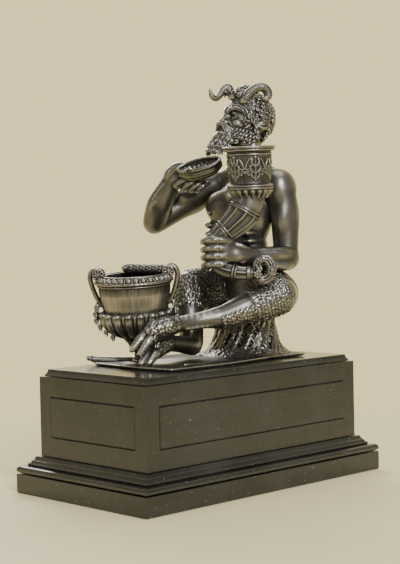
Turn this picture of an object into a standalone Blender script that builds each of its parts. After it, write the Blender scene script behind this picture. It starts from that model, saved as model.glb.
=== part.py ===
"""Seated satyr with an urn and a cornucopia candle holder, cast in bronze, on a moulded wooden plinth.

Metres, +Z up. The origin is the middle of the plinth's underside. The satyr faces -X.
The bronzes are modelled in clay: volumes that strokes add to and cut from, then skinned.
Their strokes are in parts: one part is a fixed share of the figure's height, and the
parts' own origin is the middle of the plinth's top.
"""

from math import cos, pi, radians, sin, tau

import bmesh
import bpy
import numpy as np
import openvdb
from mathutils import Matrix, Vector

# Driving dimensions of the plinth
FOOT_LENGTH = 0.2500
FOOT_WIDTH = 0.1462
FOOT_HEIGHT = 0.0146
FOOT_EDGE_ROUND = 0.0012
FOOT_TOP_BEVEL = 0.0005
MOULDING_HEIGHT = 0.0129
DIE_INSET = 0.0135
DIE_HEIGHT = 0.0600
CAP_HEIGHT = 0.00535
CAP_LEDGE = 0.0028
CAP_HOLLOW = 0.0018
PANEL_SIDE_MARGIN = 0.0120
PANEL_TOP_MARGIN = 0.0143
PANEL_GROOVE = 0.0006
PANEL_RISE = 0.0005
SEAT_GAP = 0.0003

# Driving dimensions of the bronzes
FIGURE_HEIGHT = 0.2200
PARTS_IN_HEIGHT = 220
PLATE_THICKNESS = 0.0021
URN_HEIGHT = 0.0665
URN_RIM_RADIUS = 0.0294
URN_WALL = 0.0022
GADROONS = 18
RIM_EGGS = 30
GADROON_DEPTH = 0.0024
SOCKET_HEIGHT = 0.0355
SOCKET_RADIUS = 0.0166
SOCKET_BORE_RADIUS = 0.0110
SOCKET_BORE_DEPTH = 0.0260
HORN_RIBS = 9
GRIP_CLEARANCE = 0.00045

# Fineness of the clay and of the skin
FIGURE_STEP = 0.9
VESSEL_STEP = 0.75
FIGURE_FACES = 6600
URN_FACES = 1500
HORN_FACES = 1500
FINER_REACH = 3.0
FINER_TRIES = 8

PART = FIGURE_HEIGHT / PARTS_IN_HEIGHT
DIE_TOP = FOOT_HEIGHT + MOULDING_HEIGHT + DIE_HEIGHT
PLINTH_TOP = DIE_TOP + CAP_HEIGHT
PLATE_TOP = PLATE_THICKNESS / PART
FAR = 9.0


def clear_scene():
    for thing in list(bpy.data.objects):
        bpy.data.objects.remove(thing, do_unlink=True)


def material(name, colour, roughness, metallic):
    made = bpy.data.materials.new(name)
    made.use_nodes = True
    shader = made.node_tree.nodes["Principled BSDF"]
    shader.inputs["Base Color"].default_value = (*colour, 1)
    shader.inputs["Roughness"].default_value = roughness
    shader.inputs["Metallic"].default_value = metallic
    return made


def new_object(name, mesh, finish):
    thing = bpy.data.objects.new(name, mesh)
    bpy.context.scene.collection.objects.link(thing)
    mesh.materials.append(finish)
    return thing


# Plinth


def rectangle(length, width, inset, z):
    x, y = length / 2 - inset, width / 2 - inset
    return [(-x, -y, z), (x, -y, z), (x, y, z), (-x, y, z)]


def moulded_block(name, length, width, profile, finish):
    """A block whose four sides follow one profile of (inset, height) points, mitred at the corners."""
    form = bmesh.new()
    rings = [[form.verts.new(c) for c in rectangle(length, width, inset, z)] for inset, z in profile]
    form.faces.new(rings[0][::-1])
    form.faces.new(rings[-1])
    for low, high in zip(rings, rings[1:]):
        for i in range(4):
            j = (i + 1) % 4
            form.faces.new((low[i], low[j], high[j], high[i]))
    mesh = bpy.data.meshes.new(name)
    form.to_mesh(mesh)
    form.free()
    return new_object(name, mesh, finish)


def arc(centre, radius, start, end, count):
    """Points of a quarter or half round in (inset, height), angles in degrees."""
    angles = [radians(start + (end - start) * i / count) for i in range(count + 1)]
    return [(centre[0] + radius * cos(a), centre[1] + radius * sin(a)) for a in angles]


def plinth_foot(finish):
    low = arc((FOOT_EDGE_ROUND, FOOT_EDGE_ROUND), FOOT_EDGE_ROUND, 270, 180, 3)
    profile = low + [(0, FOOT_HEIGHT - FOOT_TOP_BEVEL), (FOOT_TOP_BEVEL, FOOT_HEIGHT)]
    return moulded_block("plinth_foot", FOOT_LENGTH, FOOT_WIDTH, profile, finish)


def plinth_moulding(finish):
    """A torus as wide as the foot, a small round, and a hollow that runs up to the die."""
    low = FOOT_HEIGHT + SEAT_GAP
    torus = MOULDING_HEIGHT * 0.21
    small = MOULDING_HEIGHT * 0.085
    top = FOOT_HEIGHT + MOULDING_HEIGHT
    torus_middle = low + torus
    small_middle = torus_middle + torus + small
    small_inset = DIE_INSET * 0.44
    hollow_low = small_middle + small
    hollow_radius = top - hollow_low - MOULDING_HEIGHT * 0.06
    profile = arc((torus, torus_middle), torus, 262, 98, 7)
    profile += arc((small_inset + small, small_middle), small, 250, 110, 4)
    profile += [(DIE_INSET * 0.56, hollow_low)]
    profile += arc((DIE_INSET * 0.56, hollow_low + hollow_radius), hollow_radius * 0.62, 290, 350, 4)
    profile += [(DIE_INSET * 0.56 + hollow_radius * 0.75, top)]
    return moulded_block("plinth_moulding", FOOT_LENGTH, FOOT_WIDTH, profile, finish)


def plinth_die(finish):
    """The panelled box: each side has a field that stands proud inside a fine groove."""
    length, width = FOOT_LENGTH - 2 * DIE_INSET, FOOT_WIDTH - 2 * DIE_INSET
    low, high = DIE_TOP - DIE_HEIGHT + SEAT_GAP, DIE_TOP
    form = bmesh.new()
    corners = [[form.verts.new(c) for c in rectangle(length, width, 0, z)] for z in (low, high)]
    form.faces.new(corners[0][::-1])
    form.faces.new(corners[1])
    field_rings = [(0, 0), (PANEL_GROOVE, -PANEL_GROOVE), (2.2 * PANEL_GROOVE, PANEL_RISE)]
    for i in range(4):
        j = (i + 1) % 4
        start, end = corners[0][i].co, corners[0][j].co
        along = (end - start).normalized()
        out = along.cross(Vector((0, 0, 1)))
        ring = [corners[0][i], corners[0][j], corners[1][j], corners[1][i]]
        side = (end - start).length
        for inner, rise in field_rings:
            left, right = PANEL_SIDE_MARGIN + inner, side - PANEL_SIDE_MARGIN - inner
            bottom, top = low + PANEL_TOP_MARGIN + inner, high - PANEL_TOP_MARGIN - inner
            flat = [(left, bottom), (right, bottom), (right, top), (left, top)]
            places = [Vector((*(start + along * s + out * rise).xy, z)) for s, z in flat]
            inner_ring = [form.verts.new(p) for p in places]
            for a in range(4):
                b = (a + 1) % 4
                form.faces.new((ring[a], ring[b], inner_ring[b], inner_ring[a]))
            ring = inner_ring
        form.faces.new(ring)
    mesh = bpy.data.meshes.new("plinth_die")
    form.to_mesh(mesh)
    form.free()
    return new_object("plinth_die", mesh, finish)


def plinth_cap(finish):
    length, width = FOOT_LENGTH - 2 * DIE_INSET, FOOT_WIDTH - 2 * DIE_INSET
    low = DIE_TOP + SEAT_GAP
    rise = PLINTH_TOP - low
    profile = [(CAP_LEDGE, low)]
    for i in range(5):
        profile.append((CAP_LEDGE + CAP_HOLLOW * sin(pi / 2 * i / 4), low + rise * (0.15 + 0.7 * i / 4)))
    profile.append((CAP_LEDGE + CAP_HOLLOW, PLINTH_TOP))
    return moulded_block("plinth_cap", length, width, profile, finish)


# Clay: a shape is its low corner, its high corner and a distance, negative inside


class Clay:
    """A volume on a cubic grid, in parts, that strokes add to or cut from."""

    def __init__(self, low, high, step):
        self.step = step
        self.low = np.array(low, np.float32)
        counts = np.ceil((np.array(high) - self.low) / step).astype(int) + 1
        self.field = np.full(counts, FAR, np.float32)

    def window(self, low, high, margin):
        first = np.floor((np.array(low) - margin - self.low) / self.step).astype(int)
        last = np.ceil((np.array(high) + margin - self.low) / self.step).astype(int) + 1
        first = np.clip(first, 0, self.field.shape)
        last = np.clip(last, 0, self.field.shape)
        spans = tuple(slice(a, b) for a, b in zip(first, last))
        grid = [self.low[i] + self.step * np.arange(first[i], last[i], dtype=np.float32) for i in range(3)]
        return spans, (grid[0][:, None, None], grid[1][None, :, None], grid[2][None, None, :])

    def add(self, shape, blend=0.0):
        low, high, distance = shape
        spans, point = self.window(low, high, blend + 2 * self.step)
        self.field[spans] = blended(self.field[spans], distance(point), blend)

    def cut(self, shape, blend=0.0):
        low, high, distance = shape
        spans, point = self.window(low, high, blend + 2 * self.step)
        self.field[spans] = -blended(-self.field[spans], distance(point), blend)

    def skin(self):
        """Points and quads of the surface, keeping only the largest piece."""
        grid = openvdb.FloatGrid(FAR)
        grid.copyFromArray(np.clip(self.field, -FAR, FAR))
        points, quads = grid.convertToQuads(0.0)
        points, quads = largest_piece(points * self.step + self.low, quads)
        return relaxed(points, quads, self.step), quads


def blended(one, other, blend):
    """The lesser of two distances, rounded where they are within the blend of each other."""
    if blend <= 0:
        return np.minimum(one, other)
    near = np.maximum(blend - np.abs(one - other), 0)
    return np.minimum(one, other) - near * near / (4 * blend)


def largest_piece(points, quads):
    """Spreads the lowest point number over each connected piece, then keeps the commonest."""
    label = np.arange(len(points))
    edges = np.concatenate([quads[:, [i, (i + 1) % 4]] for i in range(4)])
    while True:
        lowest = np.minimum(label[edges[:, 0]], label[edges[:, 1]])
        spread = label.copy()
        np.minimum.at(spread, edges[:, 0], lowest)
        np.minimum.at(spread, edges[:, 1], lowest)
        spread = spread[spread]
        if (spread == label).all():
            break
        label = spread
    numbers, counts = np.unique(label, return_counts=True)
    kept = label == numbers[counts.argmax()]
    renumber = np.cumsum(kept) - 1
    return points[kept], renumber[quads[kept[quads[:, 0]]]]


def relaxed(points, quads, step):
    """Draws each point halfway to the middle of its neighbours, except in the flat base."""
    edges = np.concatenate([quads[:, [i, (i + 1) % 4]] for i in range(4)])
    total = np.zeros_like(points)
    number = np.zeros(len(points))
    for a, b in (edges.T, edges.T[::-1]):
        np.add.at(total, a, points[b])
        np.add.at(number, a, 1)
    moved = (points + total / number[:, None]) / 2
    base = points[:, 2] < points[:, 2].min() + step / 4
    moved[base, 2] = points[base, 2]
    return moved


def limb(start, end, start_radius, end_radius):
    """A round limb that tapers from one point to another."""
    a, b = np.array(start, float), np.array(end, float)
    run = b - a
    length_squared = max(float(run @ run), 1e-9)
    reach = max(start_radius, end_radius)

    def distance(p):
        x, y, z = (p[i] - a[i] for i in range(3))
        share = np.clip((x * run[0] + y * run[1] + z * run[2]) / length_squared, 0, 1)
        x, y, z = x - share * run[0], y - share * run[1], z - share * run[2]
        return np.sqrt(x * x + y * y + z * z) - (start_radius + share * (end_radius - start_radius))

    return np.minimum(a, b) - reach, np.maximum(a, b) + reach, distance


def egg(centre, radii, turn=None):
    """An ellipsoid; turn is a 3x3 matrix whose columns are its own axes."""
    c, r = np.array(centre, float), np.array(radii, float)
    axes = np.eye(3) if turn is None else np.array(turn, float)
    reach = np.abs(axes) @ r

    def distance(p):
        offset = [p[i] - c[i] for i in range(3)]
        own = [sum(offset[j] * axes[j, i] for j in range(3)) for i in range(3)]
        near = np.sqrt(sum((own[i] / r[i]) ** 2 for i in range(3))) + 1e-6
        slope = np.sqrt(sum((own[i] / r[i] ** 2) ** 2 for i in range(3))) + 1e-6
        return near * (near - 1) / slope

    return c - reach, c + reach, distance


def outline_distance(u, v, corners):
    """Distance to a closed outline in a plane, negative inside."""
    best = np.full(np.broadcast_shapes(u.shape, v.shape), 1e9)
    inside = np.zeros(best.shape, bool)
    for (u0, v0), (u1, v1) in zip(corners, corners[1:] + corners[:1]):
        du, dv = u1 - u0, v1 - v0
        share = np.clip(((u - u0) * du + (v - v0) * dv) / (du * du + dv * dv), 0, 1)
        best = np.minimum(best, (u - u0 - share * du) ** 2 + (v - v0 - share * dv) ** 2)
        if dv:
            crosses = (v0 <= v) != (v1 <= v)
            inside ^= crosses & (u < u0 + (v - v0) * du / dv)
    return np.where(inside, -1, 1) * np.sqrt(best)


def plate(corners, low, high):
    """A flat plate of a given outline between two heights."""
    spread = np.array(corners, float)

    def distance(p):
        side = outline_distance(p[0], p[1], corners)
        return np.maximum(side, np.abs(p[2] - (low + high) / 2) - (high - low) / 2)

    return (*spread.min(0), low), (*spread.max(0), high), distance


def turned(outline, lobes=0, lobe_depth=0.0, lobe_span=(0, 1)):
    """A form turned about +Z from an outline of (radius, height), with lobes between two heights."""
    widest = max(r for r, _ in outline) + lobe_depth
    heights = [z for _, z in outline]

    def distance(p):
        radius = np.sqrt(p[0] ** 2 + p[1] ** 2)
        if lobes:
            angle = np.arctan2(p[1], p[0])
            low, high = lobe_span
            share = np.clip((p[2] - low) / (high - low), 0, 1)
            swell = np.maximum(np.sin(pi * (share * 0.9 + 0.1)), 0) ** 0.6 * (share > 0)
            radius = radius - lobe_depth * swell * (np.abs(np.cos(lobes * angle / 2)) - 0.4)
        return outline_distance(radius, p[2] + 0 * radius, outline)

    return (-widest, -widest, min(heights)), (widest, widest, max(heights)), distance


def lean_matrix(foot, top, spin=0.0):
    """Stands an upright form on a foot, spun about its axis and leant towards a top."""
    lean = Vector((0, 0, 1)).rotation_difference(Vector(top) - Vector(foot)).to_matrix().to_4x4()
    return Matrix.Translation(foot) @ lean @ Matrix.Rotation(spin, 4, "Z")


def leaning(shape, matrix, extra=0.0):
    """A shape moved by a matrix, with its surface moved out by a little extra."""
    low, high, distance = shape
    turn, foot = np.array(matrix.to_3x3()), np.array(matrix.translation)
    middle, half = (np.array(low) + np.array(high)) / 2, (np.array(high) - np.array(low)) / 2
    centre, reach = foot + turn @ middle, np.abs(turn) @ half + extra

    def moved(p):
        offset = [p[i] - foot[i] for i in range(3)]
        return distance([sum(offset[j] * turn[j, i] for j in range(3)) for i in range(3)]) - extra

    return centre - reach, centre + reach, moved


def through(points, count):
    """A smooth curve through points, as count + 1 places."""
    p = np.array([points[0], *points, points[-1]], float)
    places = []
    for s in np.linspace(0, len(points) - 1, count + 1):
        i = min(int(s), len(points) - 2)
        t = s - i
        a, b, c, d = p[i : i + 4]
        bend = (2 * a - 5 * b + 4 * c - d) * t**2 + (3 * b - a - 3 * c + d) * t**3
        places.append(0.5 * (2 * b + (c - a) * t + bend))
    return np.array(places)


def add_chain(clay, points, radii, blend=0.0, count=24):
    """A limb of smoothly changing radius along a smooth curve."""
    route = through([(*p, r) for p, r in zip(points, radii)], count)
    for a, b in zip(route, route[1:]):
        clay.add(limb(a[:3], b[:3], a[3], b[3]), blend)


def skinned_object(name, clay, faces, finish, place):
    """The clay's surface as a mesh of about so many triangles."""
    points, quads = clay.skin()
    mesh = bpy.data.meshes.new(name)
    mesh.from_pydata((points * PART).tolist(), [], quads.tolist())
    mesh.shade_smooth()
    thing = new_object(name, mesh, finish)
    thing.matrix_world = place
    fewer = thing.modifiers.new("fewer", "DECIMATE")
    fewer.ratio = min(1, faces / (2 * len(quads)))
    fine = thing.vertex_groups.new(name="fine")
    fewer.vertex_group = fine.name
    fewer.invert_vertex_group = True
    for _ in range(FINER_TRIES):
        pinches = pinched_places(thing)
        if not len(pinches):
            break
        for pinch in pinches:
            close = np.linalg.norm(points * PART - pinch, axis=1) < FINER_REACH * PART
            fine.add(np.flatnonzero(close).tolist(), 1.0, "REPLACE")
    return thing


def pinched_places(thing):
    """Where the thinned skin would touch itself: the middles of edges with more than two faces."""
    thing.update_tag()
    bpy.context.view_layer.update()
    thinned = thing.evaluated_get(bpy.context.evaluated_depsgraph_get())
    mesh = thinned.to_mesh()
    places = np.empty(len(mesh.vertices) * 3, np.float32)
    mesh.vertices.foreach_get("co", places)
    loops = np.empty(len(mesh.loop_triangles) * 3, np.int32)
    mesh.loop_triangles.foreach_get("vertices", loops)
    thinned.to_mesh_clear()
    places, faces = places.reshape(-1, 3), loops.reshape(-1, 3)
    edges = np.sort(np.concatenate([faces[:, [0, 1]], faces[:, [1, 2]], faces[:, [2, 0]]]), axis=1)
    pairs, uses = np.unique(edges, axis=0, return_counts=True)
    return places[pairs[uses > 2]].mean(1)


# Satyr, in parts


GROUND_OUTLINE = [(78, -37), (39, -36), (-12, -43), (-43, -43), (-70, -42), (-74, -17), (-73, 13)]
GROUND_OUTLINE += [(-71, 41), (-66, 50), (-44, 50), (-5, 45), (40, 42), (78, 38)]
HEAD_CENTRE = (57.5, 3.5, 186)
HEAD_TILT = radians(18)
HEAD_TURN = radians(14)


def head_axes():
    """Columns: forward, to the head's left, up."""
    forward = np.array([-cos(HEAD_TURN) * cos(HEAD_TILT), sin(HEAD_TURN) * cos(HEAD_TILT), sin(HEAD_TILT)])
    left = np.array([-sin(HEAD_TURN), -cos(HEAD_TURN), 0.0])
    return np.stack([forward, left, np.cross(forward, left)], 1)


def on_head(forward, left, up):
    return np.array(HEAD_CENTRE) + head_axes() @ np.array([forward, left, up])


def ground(clay):
    clay.add(plate(GROUND_OUTLINE, -4, PLATE_TOP))
    add_chain(clay, [(-40, 30, 2.5), (-56, 43, 3.2), (-67, 52, 4.2)], [2.2, 2.0, 1.6], 1.5)
    clay.add(egg((-68, 53, 4.8), (2.6, 2.6, 2.4)), 0.6)
    clay.add(limb((50, 0, 12), (51, 0, 34), 23, 22), 3)
    clay.add(egg((49, 0, 1), (35, 31, 11)), 6)
    for i in range(18):
        angle = tau * i / 18
        root = (49 + 34 * cos(angle), 30 * sin(angle), 3)
        middle = (50 + 25 * cos(angle + 0.12), 23.5 * sin(angle + 0.12), 12)
        top = (50 + 22.5 * cos(angle + 0.35), 22 * sin(angle + 0.35), 32)
        add_chain(clay, [root, middle, top], [2.4, 3.2, 2.6], 1.2, 8)


def torso(clay):
    clay.add(egg((48, 0, 112), (20, 28, 28)))
    clay.add(egg((57, 0, 126), (16, 32, 18)), 6)
    clay.add(egg((44, 0, 80), (20, 22, 26)), 8)
    clay.add(egg((54, 0, 50), (23, 27, 22)), 8)
    clay.add(limb((58, 1, 138), (56, 2, 172), 13, 12), 5)
    for side in (-1, 1):
        clay.add(limb((58, 0, 152), (54, 30 * side, 139), 8, 9), 8)
        clay.add(egg((34.5, 12 * side, 120), (8, 13, 11)), 6)
        clay.add(egg((26.8, 15 * side, 114.5), (1.8, 2, 2)), 1.5)
        for row in range(3):
            clay.add(egg((27.2 + 0.6 * row, 5.8 * side, 101 - 10 * row), (4.2, 6, 5.2)), 3)
        for row in range(3):
            clay.add(egg((34.5 + 1.5 * row, (19 + 1.5 * row) * side, 103 - 7 * row), (7, 5, 3.2)), 2.5)
        clay.add(egg((44, 20 * side, 88), (10, 6, 8)), 4)
        blade = [(65, 8 * side, 143), (67, 15 * side, 129), (65, 11 * side, 113)]
        add_chain(clay, blade, [4.5, 5.5, 3.5], 5, 10)
        clay.add(egg((66, 12 * side, 52), (13, 13, 15)), 4)
    clay.cut(egg((23, 0, 76), (3, 1.6, 1.6)), 1)
    add_chain(clay, [(75, 0, 62), (82, 0, 58), (84, 0, 50), (80, 0, 42)], [3, 3, 2.6, 1.2], 1.5, 10)


def left_arm(clay):
    clay.add(egg((57, -35, 132), (13, 11, 15)), 4)
    upper = [(55, -33, 134), (58.5, -36.5, 115), (58.5, -37, 97), (57.5, -38, 78)]
    add_chain(clay, upper, [11, 10.5, 9.5, 8.5], 2)
    clay.add(egg((54, -38, 108), (7, 7, 14)), 3)
    clay.add(egg((63, -37, 112), (6, 6, 15)), 3)
    clay.add(egg((61.5, -37.5, 75), (6, 6, 6)), 2)
    add_chain(clay, [(59, -39, 78), (42, -37.5, 78), (21, -34, 80), (8, -31, 82)], [8.5, 9, 6.8, 6], 2)
    add_chain(clay, [(56, -43, 82), (44, -44, 82), (28, -38.5, 83)], [3, 4, 2.4], 3, 10)


HORN_GRIP = (-2.2, -18.8)
GRIP_RADIUS = 9.4


def left_hand(clay):
    """The back of the hand is on the near side of the horn and four fingers close round it."""
    clay.add(egg((8, -30.5, 83), (9.5, 5.5, 9.5)), 3)
    clay.add(egg((1.5, -29.5, 84), (7, 4.6, 10.5)), 2)
    for i in range(4):
        height = 93.1 - 6.05 * i
        bends = [(4, 3.0, 0), (-22, 2.0, 0.6), (-50, 0.7, 0.3)]
        bends += [(-80, 0, 0), (-112, 0, -0.4), (-150, -0.6, -1.0)]
        places = []
        for degrees, rise, lift in bends:
            angle, radius = radians(-62 + degrees), GRIP_RADIUS + rise
            x, y = HORN_GRIP[0] + radius * cos(angle), HORN_GRIP[1] + radius * sin(angle)
            places.append((x, y, height + lift))
        add_chain(clay, places, [3.0, 3.1, 2.8, 3.0, 2.7, 2.3], 0.3, 14)
        clay.add(egg(places[1], (2.8, 2.8, 3.0)), 0.8)
        wrist = (20, -37.5, 84.5 - 2.0 * i)
        add_chain(clay, [wrist, (11, -35.5, height * 0.5 + 42 - i), places[0]], [0.8, 1.2, 1.3], 0.9, 8)
    add_chain(clay, [(9, -27, 87), (6, -17, 93), (1, -9, 94)], [4, 3.4, 2.7], 1.5, 10)


def right_arm(clay):
    clay.add(egg((50, 34, 135), (13, 12, 14)), 4)
    add_chain(clay, [(50, 34, 136), (32, 45, 125), (9, 59, 109)], [11, 10, 8.5], 2)
    clay.add(egg((31, 43, 129), (13, 7, 8)), 4)
    clay.add(egg((35, 45, 121), (13, 7, 6)), 4)
    clay.add(egg((8, 61, 106), (6, 6, 6)), 2)
    add_chain(clay, [(8, 60, 108), (4.5, 49, 122), (6, 38, 138), (7, 34, 144)], [8.5, 9.2, 7, 6], 2)
    add_chain(clay, [(2, 57, 112), (-2.5, 48, 124), (1, 39, 138)], [3, 4, 2.2], 3, 10)


def right_hand(clay):
    """The palm is behind the shell; the fingers come from below and the thumb lies along it."""
    clay.add(egg((7, 31, 143), (7, 8, 7.5)), 3)
    clay.add(egg((10, 25, 139), (6.5, 8, 5.5)), 2.5)
    knuckles = [(4.2, 28.9, 137.0), (8.4, 24.4, 134.6), (12.2, 20.6, 133.2), (15.6, 17.4, 132.6)]
    tips = [(10.8, 19.8, 143.6), (15.0, 15.8, 141.8), (18.6, 12.6, 140.0), (21.2, 10.6, 138.2)]
    near = np.array([-2.6, -2.7, 0.3])
    for i, (knuckle, tip) in enumerate(zip(knuckles, tips)):
        size = 3.0 - 0.2 * i
        root = np.array(knuckle) - near * 1.6 + (0, 0, 2.5)
        bends = [root, np.array(knuckle) + near * 0.3, (np.array(knuckle) + tip) / 2 + near * 0.9, tip]
        add_chain(clay, bends, [size, size, size * 0.93, size * 0.75], 0.3, 10)
    thumb = [(5, 34.5, 146), (4.6, 29, 150.5), (8, 21, 151.5), (12.5, 14.5, 149.8)]
    add_chain(clay, thumb, [4.4, 4.0, 3.2, 2.5], 1.0, 12)
    add_chain(clay, [(2.6, 36, 141), (1.6, 33, 146.5), (4, 28, 151)], [3.2, 3.6, 3.0], 1.5, 10)


def shell(clay):
    """A ribbed shell, open above, with a rolled lip, that the right hand lifts towards the mouth."""
    along = np.array([19, -28, 7.0])
    along /= np.linalg.norm(along)
    opening = np.array([-0.35, -0.5, 0.8])
    opening -= along * (opening @ along)
    opening /= np.linalg.norm(opening)
    across = np.cross(opening, along)
    axes = np.stack([along, across, opening], 1)
    centre = np.array([11, 8.5, 150])
    clay.add(egg(centre, (18, 8.8, 8.4), axes), 1)
    for k in range(7):
        tilt = radians(-78 + 26 * k)
        rib = across * 8.6 * sin(tilt) - opening * 8.2 * cos(tilt)
        shares = (-0.85, -0.4, 0, 0.4, 0.85)
        points = [centre + along * 18 * share + rib * (1 - share * share) ** 0.5 for share in shares]
        add_chain(clay, points, [0.8, 1.1, 1.2, 1.1, 0.8], 0.6, 8)
    clay.cut(egg(centre + opening * 4, (16.3, 6.9, 7.8), axes), 0.5)
    for size, wide, lift, girth in ((17.2, 7.7, 3.2, 1.3), (16.8, 8.6, 0.4, 1.0)):
        for i in range(16):
            a, b = tau * i / 16, tau * (i + 1) / 16
            lip = [centre + along * size * cos(t) + across * wide * sin(t) + opening * lift for t in (a, b)]
            clay.add(limb(lip[0], lip[1], girth, girth), 0.4)


def right_leg(clay):
    add_chain(clay, [(58, 16, 50), (36, 20, 54), (12, 22, 58)], [18, 16, 11], 4)
    add_chain(clay, [(9, 22, 58), (3, 16, 44), (-3, 8, 26), (-7, 2, 13)], [11, 10, 7.5, 6], 3)
    add_chain(clay, [(-7, 2, 12), (-24, 0.5, 15), (-40, -1.5, 17)], [6.5, 5.5, 5.5], 2)
    add_chain(clay, [(-40, -1, 17), (-50, -3.5, 14)], [6, 5.5], 2)
    for tip, knuckle in (((-69, -8, 4.2), (-52, -2, 13)), ((-64.5, -11.5, 4.2), (-50, -7, 12.5))):
        clay.add(limb(knuckle, tip, 4.0, 2.6), 1)


def left_leg(clay):
    add_chain(clay, [(56, -14, 50), (49, -32, 52), (40, -47, 50)], [18, 15, 12], 4)
    add_chain(clay, [(39, -47, 49), (20, -37, 43), (0, -28, 36), (-8, -24, 34)], [12, 11, 7.5, 6], 3)
    add_chain(clay, [(-4, -26, 35), (-26, -17, 32.5), (-46.5, -12.5, 30)], [7, 5.2, 5.2], 2)
    add_chain(clay, [(-46.5, -12.5, 30), (-57.5, -6.8, 27)], [6, 5.3], 2)
    for tip, knuckle in (((-73, -2, 14.3), (-58.5, -3.8, 26)), ((-69.5, -7, 11.3), (-56.5, -8.8, 25))):
        clay.add(limb(knuckle, tip, 4.0, 2.6), 1)


def fur(clay, points, radii, rows, locks, length):
    """Rows of pointed locks round a limb, each row lying over the next towards the limb's end."""
    route = through([(*p, r) for p, r in zip(points, radii)], rows)
    for row in range(rows):
        here, run = route[row], route[row + 1][:3] - route[row][:3]
        run /= np.linalg.norm(run)
        first = np.cross(run, (0, 0.3, 1))
        first /= np.linalg.norm(first)
        second = np.cross(run, first)
        for i in range(locks):
            angle = tau * (i + 0.5 * (row % 2)) / locks
            out = first * cos(angle) + second * sin(angle)
            root = here[:3] + out * here[3] * 0.95
            tip = root + run * length + out * 1.4 + np.array([0, 0, -0.25 * length])
            clay.add(limb(root, tip, 2.1, 0.8), 0.8)


def legs_fur(clay):
    fur(clay, [(50, 18, 53), (12, 22, 58)], [17, 11], 6, 11, 8)
    fur(clay, [(9, 22, 58), (3, 16, 44), (-3, 8, 26)], [11, 10, 8], 5, 9, 7)
    fur(clay, [(52, -26, 51), (41, -50, 50)], [16, 12], 4, 11, 8)
    fur(clay, [(40, -50, 49), (20, -38, 43)], [12, 10], 5, 10, 7)


def head(clay):
    turn = head_axes()
    clay.add(egg(on_head(-3, 0, 6), (20, 15.5, 19), turn), 3)
    clay.add(egg(on_head(4.5, 0, 13), (10.5, 12, 9.5), turn), 3)
    clay.add(egg(on_head(7, 0, -7), (10.5, 11.5, 15), turn), 4)
    clay.add(egg(on_head(13.5, 0, -11), (6.5, 7.5, 6.5), turn), 3)
    for side in (-1, 1):
        brow = [on_head(17.4, 1.8 * side, 4.2), on_head(16, 6.6 * side, 7.4), on_head(11.6, 12.2 * side, 5.6)]
        add_chain(clay, brow, [2.4, 2.3, 1.5], 0.9, 8)
        clay.cut(egg(on_head(17.4, 6.8 * side, 1.2), (4.2, 4.2, 3.2), turn), 0.7)
        clay.add(egg(on_head(12.9, 7 * side, 0.6), (3.2, 3.4, 3), turn), 0.2)
        clay.add(egg(on_head(11.6, 9.2 * side, -5), (5.4, 4.8, 4), turn), 1.4)
        whisker = [on_head(20.4, side, -9.2), on_head(19, 5 * side, -11), on_head(13.5, 10 * side, -16)]
        add_chain(clay, whisker, [2.6, 2.9, 1.4], 0.6, 8)
        ear(clay, side)
    clay.add(limb(on_head(15.8, 0, 4), on_head(20.2, 0, -4.6), 2.1, 2.9), 1.4)
    clay.add(limb(on_head(19, -2.8, -5.8), on_head(19, 2.8, -5.8), 2.1, 2.1), 0.8)
    clay.cut(egg(on_head(20.5, 0, -13.6), (5.5, 4.4, 2.3), turn), 0.5)
    lower_lip = [on_head(14.8, -5, -15), on_head(18.4, 0, -16.8), on_head(14.8, 5, -15)]
    add_chain(clay, lower_lip, [1.6, 1.9, 1.6], 0.6, 8)


def ear(clay, side):
    """A small pointed ear that lies back in the hair."""
    root, tip = on_head(-2.5, 15.5 * side, -1.5), on_head(-11, 18.5 * side, 0.5)
    clay.add(limb(root, tip, 3.4, 1.3), 0.8)


def curl(clay, centre, size, lean):
    """One round lock of hair or beard: a small swirl that ends in a point."""
    clay.add(egg(centre, (size, size, size)), 0.7)
    clay.add(limb(centre, centre + lean, size * 0.8, size * 0.35), 0.7)


def hair(clay):
    """Curls in rings from the crown down to the neck, leaving the face free, and a forelock."""
    axes = head_axes()
    for ring in range(6):
        polar = radians(12 + 19 * ring)
        count = max(3, int(15 * sin(polar)))
        for i in range(count):
            angle = tau * (i + 0.5 * (ring % 2)) / count
            forward, left, up = cos(angle) * sin(polar), sin(angle) * sin(polar), cos(polar)
            if forward > 0.5 and up < 0.8 or forward > 0.4 and up < 0.3:
                continue
            centre = on_head(-3 + 20 * forward, 16 * left, 6 + 19 * up)
            curl(clay, centre, 3.5, 2.5 * (axes @ np.array([0.3 * forward, left, -0.8])))
    for place in ((12.5, -3.5, 23), (12.8, 2.5, 23.5), (9.5, 0, 26.5), (8, 8, 19.5), (8, -8.5, 19.5)):
        curl(clay, on_head(*place), 3.1, 2.5 * (axes @ np.array([0.4, 0, -0.9])))


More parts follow.
